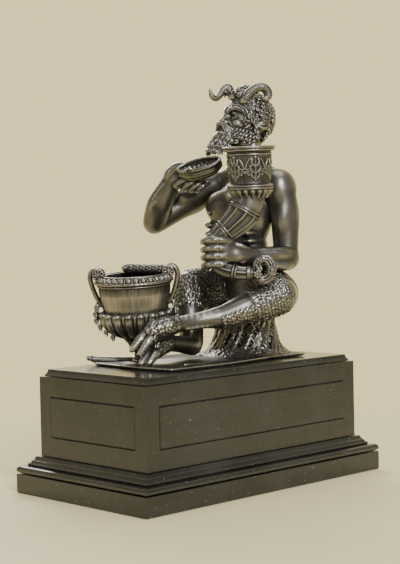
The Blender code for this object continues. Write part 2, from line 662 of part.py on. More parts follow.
def beard(clay):
    """A jutting chin mass under rows of hanging locks that end in curls, and locks along the jaw."""
    axes = head_axes()
    clay.add(limb(on_head(10, 0, -16), on_head(18, 0, -21), 8.5, 6.6), 3)
    clay.add(limb(on_head(18, 0, -21), on_head(18, 0, -27.5), 6.6, 5), 3)
    for row, locks in enumerate((7, 6, 4)):
        wide = 10.5 - 1.6 * row
        base = 11 + 2.6 * row
        for i in range(locks):
            angle = radians(-85 + 170 * (i + 0.5) / locks)
            root = on_head(base + 0.7 * wide * cos(angle), wide * sin(angle), -14.5 - 4.6 * row)
            tip = on_head(base + 2 + 0.72 * wide * cos(angle), 0.9 * wide * sin(angle), -21 - 4.9 * row)
            clay.add(limb(root, tip, 2.6, 2.0), 0.5)
            curl(clay, tip, 2.5, 1.5 * (axes @ np.array([0.1, 0, -1])))
    for side in (-1, 1):
        for i in range(5):
            root = on_head(11 - 3.4 * i, (11.4 + 0.6 * i) * side, -9.5 - 0.4 * i)
            curl(clay, root, 2.7, 5 * (axes @ np.array([0.3, -0.1 * side, -1])))


def horns(clay):
    """The right horn hooks out and up; the left one rolls over and down towards its tip."""
    right = [(46, 6.5, 207), (44.2, 8.2, 214), (40.6, 9.4, 213.2), (36.6, 9.9, 208.6)]
    right += [(33.2, 10.7, 205.6), (30, 11.4, 206), (27.8, 11.8, 208.8), (26.8, 11.7, 212.8)]
    left = [(49, -4, 203), (51.6, -7.6, 209), (56, -11.4, 213), (61, -13.9, 213.5)]
    left += [(64.6, -15.2, 210.2), (64.2, -15.4, 206), (61.4, -15, 204.6)]
    add_chain(clay, right, [3.6, 3.7, 2.9, 2.3, 2.1, 1.9, 1.6, 1.2], 0.6, 30)
    add_chain(clay, left, [4.3, 4.0, 3.7, 3.6, 3.6, 3.3, 2.4], 0.6, 30)


def satyr(finish):
    low = (-80, -72, -3)
    high = (92, 78, 226)
    clay = Clay(low, high, FIGURE_STEP)
    limbs = (torso, left_arm, right_arm, right_leg, left_leg, legs_fur, left_hand, right_hand)
    for work in (*limbs, head, hair, beard, horns, shell, ground, cut_grip):
        work(clay)
    below = (low, (high[0], high[1], 0), lambda p: p[2] + 0 * (p[0] + p[1]))
    clay.cut(below)
    place = Matrix.Translation((0, 0, PLINTH_TOP + SEAT_GAP))
    return skinned_object("satyr", clay, FIGURE_FACES, finish, place)


# Cornucopia, in parts


SOCKET_TOP = (18.6, -37.4, 164.5)
SOCKET_FOOT = (20.6, -36.4, 129.0)
HORN_ROUTE = [(20.4, -36.5, 131), (18.5, -35.5, 121), (14.5, -32.2, 111.5), (7.5, -26.5, 103)]
HORN_ROUTE += [(0.6, -20.5, 95), (-2.2, -18.8, 85), (-1.0, -24.5, 73), (5.5, -33.5, 69), (13, -41.5, 68)]
HORN_RADII = [11.5, 11.8, 11.2, 9.2, 7.4, 6.0, 5.6, 5.2, 4.6]
COIL_CENTRE = (20.5, -48.5, 71.5)
COIL_ACROSS = np.array([0.72, -0.69, 0])
COIL_WIDE = 6.8
COIL_TALL = 8.8


def coil_route():
    """The tail rolls up in an upright plane that faces forward and to the figure's left."""
    places, radii = [], []
    for i in range(22):
        angle = radians(215 + 17 * i)
        shrink = 1 - 0.015 * i
        aside = COIL_ACROSS * COIL_WIDE * shrink * cos(angle)
        places.append(COIL_CENTRE + aside + (0, 0, COIL_TALL * shrink * sin(angle)))
        radii.append(3.7 - 0.05 * i)
    return places, radii


def horn_strokes(extra=0.0):
    """The horn without its socket, as limbs that are thicker by a little extra."""
    route = through([(*p, r) for p, r in zip(HORN_ROUTE, HORN_RADII)], 60)
    strokes = [limb(a[:3], b[:3], a[3] + extra, b[3] + extra) for a, b in zip(route, route[1:])]
    places, radii = coil_route()
    strokes += [limb(a, b, r + extra, r + extra) for a, b, r in zip(places, places[1:], radii)]
    return strokes


def cut_grip(clay):
    """The figure keeps clear of the horn, of the socket that rests against it, and of the urn."""
    clearance = GRIP_CLEARANCE / PART
    for stroke in horn_strokes(2.4):
        clay.cut(stroke)
    clay.cut(leaning(turned(socket_outline()), lean_matrix(SOCKET_FOOT, SOCKET_TOP), clearance))
    clay.cut(leaning(urn_body(), urn_matrix(), clearance))


def socket_outline():
    """Outer side from the foot up with its rings and leaf cup, then the bore down to its floor."""
    r, top = SOCKET_RADIUS / PART, SOCKET_HEIGHT / PART
    bore, deep = SOCKET_BORE_RADIUS / PART, SOCKET_BORE_DEPTH / PART
    outline = [(0, -2), (r * 0.72, -2), (r * 0.95, 1.5), (r * 1.07, 3.4), (r * 1.07, 6.2), (r * 0.92, 7.2)]
    outline += [(r * 0.9, 9), (r, top - 7.5), (r * 1.07, top - 6.2), (r * 1.07, top - 4.6)]
    outline += [(r * 1.02, top - 4), (r * 1.23, top - 2.8), (r * 1.23, top)]
    return outline + [(bore, top), (bore, top - deep), (0, top - deep)]


def horn_ribs(clay, route):
    """Ribs that run along the horn above the hand, and collars that bind it."""
    around = np.array([0.7, -0.7, 0.1])
    for k in range(HORN_RIBS):
        angle = tau * k / HORN_RIBS
        for a, b in zip(route[12:32], route[13:33]):
            run = (b[:3] - a[:3]) / np.linalg.norm(b[:3] - a[:3])
            first = np.cross(run, around)
            first /= np.linalg.norm(first)
            out = first * cos(angle) + np.cross(run, first) * sin(angle)
            clay.add(limb(a[:3] + out * a[3], b[:3] + out * b[3], 1.2, 1.2), 0.3)
    for place, rise in ((11, 1.0), (33, 1.5), (38, 1.2), (48, 1.3), (50, 1.3), (60, 1.2), (62, 1.2)):
        a, b = route[place], route[place + 1]
        clay.add(limb(a[:3], b[:3], a[3] + rise, a[3] + rise), 0.3)


def socket_bore():
    """The candle's hole, from its flat floor out through the top."""
    bore, top = SOCKET_BORE_RADIUS / PART, SOCKET_HEIGHT / PART
    floor = top - SOCKET_BORE_DEPTH / PART
    return [(0, floor), (bore, floor), (bore, top + 2), (0, top + 2)]


def cornucopia(finish):
    clay = Clay((-16, -68, 50), (48, -10, 170), VESSEL_STEP)
    for stroke in horn_strokes():
        clay.add(stroke, 0.8)
    horn_ribs(clay, through([(*p, r) for p, r in zip(HORN_ROUTE, HORN_RADII)], 64))
    socket = lean_matrix(SOCKET_FOOT, SOCKET_TOP)
    clay.add(leaning(turned(socket_outline()), socket), 0.5)
    clay.cut(leaning(turned(socket_bore()), socket))
    rosette = np.array(COIL_CENTRE) - 4.4 * COIL_ACROSS + (-1.8, -1.9, -4.2)
    clay.add(egg(rosette, (3.4, 3.4, 3.4)), 0.6)
    place = Matrix.Translation((0, 0, PLINTH_TOP + SEAT_GAP))
    return skinned_object("cornucopia_candle_holder", clay, HORN_FACES, finish, place)


# Urn, in parts about its own axis


URN_FOOT = (-44.0, 23.0)
URN_LEAN = (-5.5, -2.2)
URN_SPIN = radians(-44)
GADROON_SPAN = (17.5, 39.5)


def urn_matrix():
    height = PLATE_TOP + SEAT_GAP / PART
    top = (URN_FOOT[0] + URN_LEAN[0], URN_FOOT[1] + URN_LEAN[1], height + URN_HEIGHT / PART)
    return lean_matrix((*URN_FOOT, height), top, URN_SPIN)


def urn_outline():
    """Outer side from the foot up, over the rim, and down the hollow inside."""
    h, rim, wall = URN_HEIGHT / PART, URN_RIM_RADIUS / PART, URN_WALL / PART
    outline = [(0, 0), (4.4, 0), (4.8, 1.6), (3.0, 4.0), (2.8, 6.5), (6.2, 10.5), (8.2, 15), (8.6, 17.5)]
    outline += [(15, 20.5), (21, 25.5), (24.6, 31.5), (25.6, 37.5), (24.6, 39.6), (25.2, 42), (27.0, h - 14)]
    outline += [(27.6, h - 6.5), (rim, h - 5.5), (rim, h - 4), (rim - 5, h)]
    outline += [(rim - 5 - wall, h), (27.0 - wall, h - 9), (24.6 - wall, 40), (22 - wall, 31)]
    return outline + [(14.5 - wall, 23.5), (0, 21)]


def urn_body():
    return turned(urn_outline(), GADROONS, GADROON_DEPTH / PART, GADROON_SPAN)


def urn_handle(clay, side):
    """A strap that rises from the body, curls in over the rim and ends in a flat-sided roll."""
    h = URN_HEIGHT / PART
    strap = [(26, h - 22), (29.5, h - 15), (32.4, h - 6), (33.2, h + 0.5), (30.8, h + 4.8), (26.5, h + 4.8)]
    strap += [(23.6, h + 1.2), (26, h - 1)]
    for offset in (-2.4, 0, 2.4):
        add_chain(clay, [(side * x, offset, z) for x, z in strap], [2.0] * 4 + [1.8] * 4, 0.4, 26)
    roll = turned([(0, -5.6), (4.4, -5.6), (4.4, 5.6), (0, 5.6)])
    clay.add(leaning(roll, lean_matrix((side * 26.5, 0, h + 1.4), (side * 26.5, 1, h + 1.4))), 0.4)
    for x, z in ((27.5, h - 24), (26.2, h - 31), (21, h - 41), (12, h - 49)):
        clay.add(egg((side * x, 0, z), (3.2, 4.2, 4.6)), 1.2)


def urn(finish):
    h, rim = URN_HEIGHT / PART, URN_RIM_RADIUS / PART
    clay = Clay((-40, -36, -3), (40, 36, 78), VESSEL_STEP)
    clay.add(urn_body())
    for k in range(GADROONS):
        angle = tau * k / GADROONS
        clay.add(egg((25.8 * cos(angle), 25.8 * sin(angle), 37), (3.4, 3.4, 2.7)), 0.5)
    for k in range(RIM_EGGS):
        angle = tau * k / RIM_EGGS
        clay.add(egg(((rim - 2.5) * cos(angle), (rim - 2.5) * sin(angle), h - 2), (2.1, 2.1, 1.2)), 0.4)
    urn_handle(clay, -1)
    urn_handle(clay, 1)
    clay.add(limb((25, 0, h + 2.5), (-4, 16, h + 3.5), 3.5, 3.1), 0.5)
    clay.add(egg((-6, 17, h + 3.6), (3.8, 3.8, 3.8)), 0.5)
    clay.add(limb((2, 22, h - 1), (14, 21, h + 1), 2.5, 2.8), 1.5)
    own = urn_matrix()
    own.translation *= PART
    place = Matrix.Translation((0, 0, PLINTH_TOP + SEAT_GAP)) @ own
    return skinned_object("urn", clay, URN_FACES, finish, place)


def main():
    clear_scene()
    ebony = material("ebonised_wood", (0.035, 0.030, 0.026), 0.38, 0)
    bronze = material("dark_bronze", (0.16, 0.14, 0.11), 0.34, 1)
    plinth_foot(ebony)
    plinth_moulding(ebony)
    plinth_die(ebony)
    plinth_cap(ebony)
    satyr(bronze)
    cornucopia(bronze)
    urn(bronze)


main()
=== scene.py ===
"""Looks of the bronze satyr with urn and cornucopia candle holder on its ebonised plinth.

The bronzes are modelled in clay as in the part's own source, on a finer grid and with the
chasing that a cast keeps: locks, fur, tendons, leaves and beads. Strokes are in parts of the
figure's height, one part being 1 mm here, from the middle of the plinth's top.
"""

from math import cos, pi, radians, sin, tau

import bpy
import numpy as np
import openvdb
from mathutils import Matrix, Vector


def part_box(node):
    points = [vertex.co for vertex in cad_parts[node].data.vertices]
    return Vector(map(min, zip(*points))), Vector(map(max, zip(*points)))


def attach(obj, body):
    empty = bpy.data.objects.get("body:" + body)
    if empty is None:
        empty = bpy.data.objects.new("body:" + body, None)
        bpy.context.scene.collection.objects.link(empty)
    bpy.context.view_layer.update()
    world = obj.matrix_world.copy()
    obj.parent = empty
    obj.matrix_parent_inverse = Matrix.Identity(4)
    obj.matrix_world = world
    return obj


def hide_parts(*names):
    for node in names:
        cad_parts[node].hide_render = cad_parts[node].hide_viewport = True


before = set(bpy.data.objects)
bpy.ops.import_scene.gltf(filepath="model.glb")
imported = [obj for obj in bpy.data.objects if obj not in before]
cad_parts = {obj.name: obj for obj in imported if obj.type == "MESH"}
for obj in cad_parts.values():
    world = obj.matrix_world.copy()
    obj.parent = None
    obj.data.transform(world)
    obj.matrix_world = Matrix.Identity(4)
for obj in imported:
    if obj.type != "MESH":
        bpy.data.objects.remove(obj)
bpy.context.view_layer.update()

# Camera solved on the plinth's corners, for a frame of 400 by 564
FRAME_HEIGHT = 564
FOCAL_PIXELS = 1335.0
SENSOR_LENGTH = 36.0
CAMERA_PLACE = (-0.71638, -0.74263, 0.19240)
CAMERA_FORWARD = (0.69391, 0.71912, -0.03678)
CAMERA_UP = (0.04089, 0.01164, 0.99910)

# Fineness of the clay, in parts, and triangles left on each bronze
PART = 0.001
FIGURE_STEP = 0.46
LEGS_STEP = 0.42
HEAD_STEP = 0.34
HORN_STEP = 0.36
URN_STEP = 0.4
FIGURE_TRIANGLES = 185000
LEGS_TRIANGLES = 225000
HEAD_TRIANGLES = 225000
HORN_TRIANGLES = 150000
URN_TRIANGLES = 160000
FAR = 6.0
FINE_RELIEF = 0.00022
BROAD_RELIEF = 0.0006
EDGE_ROUND = 0.00035

PLINTH_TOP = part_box("plinth_cap")[1].z
SEAT_GAP = 0.0003
PLATE_TOP = 2.1
CLEARANCE = 0.45
HORN_RELIEF_ROOM = 2.4
URN_RELIEF_ROOM = 1.4
STAND = Matrix.Translation((0, 0, PLINTH_TOP + SEAT_GAP))


# Clay: a shape is its low corner, its high corner and a distance, negative inside


class Clay:
    """A volume on a cubic grid, in parts, that strokes add to or cut from."""

    def __init__(self, low, high, step):
        self.step = step
        self.low = np.array(low, np.float32)
        counts = np.ceil((np.array(high) - self.low) / step).astype(int) + 1
        self.field = np.full(counts, FAR, np.float32)

    def window(self, low, high, margin):
        first = np.floor((np.array(low) - margin - self.low) / self.step).astype(int)
        last = np.ceil((np.array(high) + margin - self.low) / self.step).astype(int) + 1
        first = np.clip(first, 0, self.field.shape)
        last = np.clip(last, 0, self.field.shape)
        spans = tuple(slice(a, b) for a, b in zip(first, last))
        grid = [self.low[i] + self.step * np.arange(first[i], last[i], dtype=np.float32) for i in range(3)]
        return spans, (grid[0][:, None, None], grid[1][None, :, None], grid[2][None, None, :])

    def add(self, shape, blend=0.0):
        low, high, distance = shape
        spans, point = self.window(low, high, blend + 2 * self.step)
        if self.field[spans].size:
            self.field[spans] = blended(self.field[spans], distance(point), blend)

    def cut(self, shape, blend=0.0):
        low, high, distance = shape
        spans, point = self.window(low, high, blend + 2 * self.step)
        if self.field[spans].size:
            self.field[spans] = -blended(-self.field[spans], distance(point), blend)

    def skin(self):
        """Points and quads of the surface, keeping only the largest piece."""
        grid = openvdb.FloatGrid(FAR)
        grid.copyFromArray(np.clip(self.field, -FAR, FAR))
        points, quads = grid.convertToQuads(0.0)
        points, quads = largest_piece(points * self.step + self.low, quads)
        return relaxed(points, quads, self.step), quads


def blended(one, other, blend):
    """The lesser of two distances, rounded where they are within the blend of each other."""
    if blend <= 0:
        return np.minimum(one, other)
    near = np.maximum(blend - np.abs(one - other), 0)
    return np.minimum(one, other) - near * near / (4 * blend)


def largest_piece(points, quads):
    """Spreads the lowest point number over each connected piece, then keeps the commonest."""
    label = np.arange(len(points))
    edges = np.concatenate([quads[:, [i, (i + 1) % 4]] for i in range(2)])
    while True:
        spread = label.copy()
        lowest = np.minimum(label[edges[:, 0]], label[edges[:, 1]])
        np.minimum.at(spread, edges[:, 0], lowest)
        np.minimum.at(spread, edges[:, 1], lowest)
        spread = spread[spread]
        if (spread == label).all():
            break
        label = spread
    numbers, counts = np.unique(label, return_counts=True)
    kept = label == numbers[counts.argmax()]
    renumber = np.cumsum(kept) - 1
    return points[kept], renumber[quads[kept[quads[:, 0]]]]


def neighbour_mean(values, edges):
    """Mean over each point's neighbours of a value or a vector."""
    columns = values.reshape(len(values), -1)
    both = np.concatenate([edges, edges[:, ::-1]])
    number = np.maximum(np.bincount(both[:, 0], minlength=len(values)), 1)
    sums = [np.bincount(both[:, 0], columns[both[:, 1], i], len(values)) for i in range(columns.shape[1])]
    return (np.stack(sums, 1) / number[:, None]).reshape(values.shape)


def relaxed(points, quads, step):
    """Draws each point halfway to the middle of its neighbours, except in the flat base."""
    edges = np.concatenate([quads[:, [i, (i + 1) % 4]] for i in range(4)])
    moved = (points + neighbour_mean(points, edges)) / 2
    base = points[:, 2] < points[:, 2].min() + step / 4
    moved[base, 2] = points[base, 2]
    return moved


def limb(start, end, start_radius, end_radius):
    """A round limb that tapers from one point to another."""
    a, b = np.array(start, float), np.array(end, float)
    run = b - a
    length_squared = max(float(run @ run), 1e-9)
    reach = max(start_radius, end_radius)

    def distance(p):
        x, y, z = (p[i] - a[i] for i in range(3))
        share = np.clip((x * run[0] + y * run[1] + z * run[2]) / length_squared, 0, 1)
        x, y, z = x - share * run[0], y - share * run[1], z - share * run[2]
        return np.sqrt(x * x + y * y + z * z) - (start_radius + share * (end_radius - start_radius))

    return np.minimum(a, b) - reach, np.maximum(a, b) + reach, distance


def egg(centre, radii, turn=None):
    """An ellipsoid; turn is a 3x3 matrix whose columns are its own axes."""
    c, r = np.array(centre, float), np.array(radii, float)
    axes = np.eye(3) if turn is None else np.array(turn, float)
    reach = np.abs(axes) @ r

    def distance(p):
        offset = [p[i] - c[i] for i in range(3)]
        own = [sum(offset[j] * axes[j, i] for j in range(3)) for i in range(3)]
        near = np.sqrt(sum((own[i] / r[i]) ** 2 for i in range(3))) + 1e-6
        slope = np.sqrt(sum((own[i] / r[i] ** 2) ** 2 for i in range(3))) + 1e-6
        return near * (near - 1) / slope

    return c - reach, c + reach, distance


def outline_distance(u, v, corners):
    """Distance to a closed outline in a plane, negative inside."""
    best = np.full(np.broadcast_shapes(u.shape, v.shape), 1e9)
    inside = np.zeros(best.shape, bool)
    for (u0, v0), (u1, v1) in zip(corners, corners[1:] + corners[:1]):
        du, dv = u1 - u0, v1 - v0
        share = np.clip(((u - u0) * du + (v - v0) * dv) / (du * du + dv * dv), 0, 1)
        best = np.minimum(best, (u - u0 - share * du) ** 2 + (v - v0 - share * dv) ** 2)
        if dv:
            crosses = (v0 <= v) != (v1 <= v)
            inside ^= crosses & (u < u0 + (v - v0) * du / dv)
    return np.where(inside, -1, 1) * np.sqrt(best)


def plate(corners, low, high):
    """A flat plate of a given outline between two heights."""
    spread = np.array(corners, float)

    def distance(p):
        side = outline_distance(p[0], p[1], corners)
        return np.maximum(side, np.abs(p[2] - (low + high) / 2) - (high - low) / 2)

    return (*spread.min(0), low), (*spread.max(0), high), distance


def turned(outline):
    """A form turned about +Z from an outline of (radius, height)."""
    widest = max(r for r, _ in outline)
    heights = [z for _, z in outline]

    def distance(p):
        radius = np.sqrt(p[0] ** 2 + p[1] ** 2)
        return outline_distance(radius, p[2] + 0 * radius, outline)

    return (-widest, -widest, min(heights)), (widest, widest, max(heights)), distance


def lean_matrix(foot, top, spin=0.0):
    """Stands an upright form on a foot, spun about its axis and leant towards a top."""
    lean = Vector((0, 0, 1)).rotation_difference(Vector(top) - Vector(foot)).to_matrix().to_4x4()
    return Matrix.Translation(foot) @ lean @ Matrix.Rotation(spin, 4, "Z")


def leaning(shape, matrix, extra=0.0):
    """A shape moved by a matrix, with its surface moved out by a little extra."""
    low, high, distance = shape
    turn, foot = np.array(matrix.to_3x3()), np.array(matrix.translation)
    middle, half = (np.array(low) + np.array(high)) / 2, (np.array(high) - np.array(low)) / 2
    centre, reach = foot + turn @ middle, np.abs(turn) @ half + extra

    def moved(p):
        offset = [p[i] - foot[i] for i in range(3)]
        return distance([sum(offset[j] * turn[j, i] for j in range(3)) for i in range(3)]) - extra

    return centre - reach, centre + reach, moved


def through(points, count):
    """A smooth curve through points, as count + 1 places."""
    p = np.array([points[0], *points, points[-1]], float)
    places = []
    for s in np.linspace(0, len(points) - 1, count + 1):
        i = min(int(s), len(points) - 2)
        t = s - i
        a, b, c, d = p[i : i + 4]
        bend = (2 * a - 5 * b + 4 * c - d) * t**2 + (3 * b - a - 3 * c + d) * t**3
        places.append(0.5 * (2 * b + (c - a) * t + bend))
    return np.array(places)


def tapered(points, radii, count):
    """A smooth route of (x, y, z, radius) through points with a radius each."""
    return through([(*p, r) for p, r in zip(points, radii)], count)


def add_chain(clay, points, radii, blend=0.0, count=24, cut=False):
    """A limb of smoothly changing radius along a smooth curve."""
    route = tapered(points, radii, count)
    for a, b in zip(route, route[1:]):
        stroke = limb(a[:3], b[:3], max(a[3], 0.15), max(b[3], 0.15))
        if cut:
            clay.cut(stroke, blend)
        else:
            clay.add(stroke, blend)


def frames_along(route, reference):
    """Two directions across a route at each of its places, carried along without twist."""
    runs = np.gradient(route[:, :3], axis=0)
    runs /= np.linalg.norm(runs, axis=1)[:, None]
    first = np.array(reference, float)
    pairs = []
    for run in runs:
        first = first - run * (first @ run)
        first /= np.linalg.norm(first)
        pairs.append((first, np.cross(run, first)))
    return pairs


def field_at(clay, place):
    """The clay's distance at a place, read between its cells."""
    spot = np.clip((np.asarray(place) - clay.low) / clay.step, 0, np.array(clay.field.shape) - 1.01)
    cell = spot.astype(int)
    share = spot - cell
    block = clay.field[cell[0] : cell[0] + 2, cell[1] : cell[1] + 2, cell[2] : cell[2] + 2].astype(float)
    for along in share:
        block = block[0] * (1 - along) + block[1] * along
    return float(block)


def seated(clay, place, out, rise):
    """Moves a place along a direction until it stands a given rise off the clay."""
    for _ in range(3):
        place = place + out * (rise - field_at(clay, place))
    return place


def twisted_lock(clay, points, radii, strands=4, twist=0.6, count=9, blend=0.12):
    """A lock of hair: strands that wind about a curve and close at its tip."""
    route = tapered(points, radii, count)
    pairs = frames_along(route, (0.31, 0.52, 0.79))
    for k in range(strands):
        line = []
        for i, (place, (first, second)) in enumerate(zip(route, pairs)):
            angle = tau * k / strands + tau * twist * i / count
            out = first * cos(angle) + second * sin(angle)
            line.append((*(place[:3] + out * place[3] * 0.56), place[3] * 0.46))
        for a, b in zip(line, line[1:]):
            clay.add(limb(a[:3], b[:3], a[3], b[3]), blend)


def add_ring(clay, centre, pair, reach, girth, count, blend=0.15):
    """A ring of short limbs about a centre, in the plane of two directions across it."""
    one, two = pair
    for k in range(count):
        a, b = tau * k / count, tau * (k + 1) / count
        ends = [centre + (one * cos(t) + two * sin(t)) * reach for t in (a, b)]
        clay.add(limb(ends[0], ends[1], girth, girth), blend)


def tube_rings(clay, route, picks, girth, swell, reference=(0.31, 0.52, 0.79)):
    """Thin rings round a tube at chosen places of its route of (x, y, z, radius)."""
    pairs = frames_along(route, reference)
    for i in picks:
        add_ring(clay, route[i][:3], pairs[i], route[i][3] + swell, girth, 18)


def snail_curl(clay, centre, out, size, spin, turns=1.5, lean=(0, 0, -1)):
    """A round curl of hair: a strand that winds in on itself and rises to its middle."""
    out = np.array(out, float) / np.linalg.norm(out)
    first = np.cross(out, (0.13, 0.27, 0.95))
    first /= np.linalg.norm(first)
    second = np.cross(out, first)
    clay.add(egg(centre, (size * 0.75, size * 0.75, size * 0.75)), 0.4)
    count = int(9 * turns)
    line = []
    for i in range(count + 1):
        share = i / count
        angle = spin + tau * turns * share
        reach = size * (1 - 0.82 * share)
        place = centre + reach * (first * cos(angle) + second * sin(angle))
        place = place + out * size * (0.25 + 0.6 * share)
        line.append((*place, size * (0.34 - 0.10 * share)))
    tail = np.array(line[0][:3]) + np.array(lean) * size * 0.9
    line.insert(0, (*tail, size * 0.2))
    for a, b in zip(line, line[1:]):
        clay.add(limb(a[:3], b[:3], a[3], b[3]), 0.08)


def pelt(clay, points, radii, length, gap, random, sides=(0, tau), fall=0.3, girth=0.5):
    """Pointed tufts in offset rows along a limb, seated on the clay; each is three strands that meet."""
    spans = np.linalg.norm(np.diff(np.array(points, float), axis=0), axis=1)
    rows = max(2, int(spans.sum() / gap))
    route = tapered(points, radii, rows)
    pairs = frames_along(route, (0.05, 0.2, 1))
    strokes = []
    for row in range(rows):
        place, (first, second) = route[row], pairs[row]
        run = route[row + 1][:3] - place[:3]
        run /= np.linalg.norm(run)
        count = max(1, int((sides[1] - sides[0]) * place[3] / gap))
        for i in range(count):
            angle = sides[0] + (sides[1] - sides[0]) * (i + 0.5 * (row % 2) + 0.4 * random.random()) / count
            out = first * cos(angle) + second * sin(angle)
            root = seated(clay, place[:3] + out * place[3], out, -0.3)
            if np.linalg.norm(root - place[:3]) > place[3] + 6:
                continue
            drift = 0.5 * sin(0.31 * root[0] + 0.23 * root[1]) + random.uniform(-0.25, 0.25)
            aside = np.cross(run, out)
            course = run * cos(drift) + aside * sin(drift) + np.array([0, 0, -fall])
            course -= out * (course @ out)
            course /= np.linalg.norm(course)
            cross = np.cross(out, course)
            reach = length * random.uniform(0.8, 1.25)
            middle = root + course * reach * 0.5 + cross * random.uniform(-0.5, 0.5)
            middle = seated(clay, middle, out, girth * 0.8)
            tip = seated(clay, root + course * reach, out, girth * 0.35) + cross * random.uniform(-0.7, 0.7)
            if np.linalg.norm(tip - root) > 1.7 * reach:
                continue
            for spread in (-1, 0, 1):
                start = root + cross * spread * gap * 0.36
                bend = middle + cross * spread * gap * 0.30 + out * (0.15 if spread == 0 else 0)
                strokes.append(limb(start, bend, girth * 0.9, girth))
                strokes.append(limb(bend, tip, girth, girth * 0.35))
    for stroke in strokes:
        clay.add(stroke, 0.05)


def finished_mesh(name, clay, triangles, place, finish, node):
    """Skins the clay, thins it to so many triangles, marks its worn heights and its hollows for patina and
    painted shade, and stands it for a node.
    """
    points, quads = clay.skin()
    mesh = bpy.data.meshes.new(name)
    mesh.from_pydata((points * PART).tolist(), [], quads.tolist())
    mesh.transform(place)
    rough = bpy.data.objects.new(name + "_rough", mesh)
    bpy.context.scene.collection.objects.link(rough)
    fewer = rough.modifiers.new("fewer", "DECIMATE")
    fewer.ratio = min(1, triangles / (2 * len(quads)))
    graph = bpy.context.evaluated_depsgraph_get()
    thinned = bpy.data.meshes.new_from_object(rough.evaluated_get(graph))
    bpy.data.objects.remove(rough)
    thinned.name = name
    thinned.shade_smooth()
    thinned.materials.clear()
    thinned.materials.append(finish)
    mark_wear_and_shade(thinned)
    piece = bpy.data.objects.new(name, thinned)
    bpy.context.scene.collection.objects.link(piece)
    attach(piece, "root")
    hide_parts(node)
    print(name, "triangles", len(thinned.polygons))
    return piece


def mark_wear_and_shade(mesh):
    """Stores how far each point stands proud of its surroundings, 0 in hollows and 1 on ridges; the bronze
    colour uses it to darken the hollows as patina and painted shade.
    """
    count = len(mesh.vertices)
    places = np.empty(count * 3, np.float32)
    mesh.vertices.foreach_get("co", places)
    places = places.reshape(-1, 3).astype(float)
    normals = np.empty(count * 3, np.float32)
    mesh.vertex_normals.foreach_get("vector", normals)
    normals = normals.reshape(-1, 3).astype(float)
    edges = np.empty(len(mesh.edges) * 2, np.int32)
    mesh.edges.foreach_get("vertices", edges)
    edges = edges.reshape(-1, 2)
    around = places
    proud = np.zeros(count)
    for step in range(6):
        around = neighbour_mean(around, edges)
        if step in (1, 5):
            proud += ((places - around) * normals).sum(1) / (FINE_RELIEF if step == 1 else BROAD_RELIEF)
    proud = (proud + neighbour_mean(proud, edges)) / 2
    # Hollows near 0 become dark patina and painted shade in the bronze colour; ridges near 1 become rubbed
    # metal.
    wear_and_shade = mesh.attributes.new("wear_and_shade", "FLOAT", "POINT")
    wear_and_shade.data.foreach_set("value", (0.5 + 0.5 * np.tanh(proud * 0.7)).astype(np.float32))


# Satyr


GROUND_OUTLINE = [(78, -37), (39, -36), (-12, -43), (-43, -43), (-70, -42), (-74, -17), (-73, 13)]
GROUND_OUTLINE += [(-71, 41), (-66, 50), (-44, 50), (-5, 45), (40, 42), (78, 38)]
HEAD_CENTRE = (57.5, 3.5, 186)
HEAD_TILT = radians(18)
HEAD_TURN = radians(14)


def head_axes():
    """Columns: forward, to the head's left, up."""
    forward = np.array([-cos(HEAD_TURN) * cos(HEAD_TILT), sin(HEAD_TURN) * cos(HEAD_TILT), sin(HEAD_TILT)])
    left = np.array([-sin(HEAD_TURN), -cos(HEAD_TURN), 0.0])
    return np.stack([forward, left, np.cross(forward, left)], 1)


HEAD_AXES = head_axes()


def head_way(forward, left, up):
    """A direction given in the head's own directions."""
    return HEAD_AXES @ np.array([forward, left, up])


def on_head(forward, left, up):
    """A place given from the middle of the head, in its own directions."""
    return np.array(HEAD_CENTRE) + head_way(forward, left, up)


def head_egg(place, radii):
    """An ellipsoid placed and turned with the head."""
    return egg(on_head(*place), radii, HEAD_AXES)


def head_line(clay, points, radii, blend=0.3, count=10, cut=False):
    """A chain given in the head's own directions."""
    add_chain(clay, [on_head(*p) for p in points], radii, blend, count, cut)


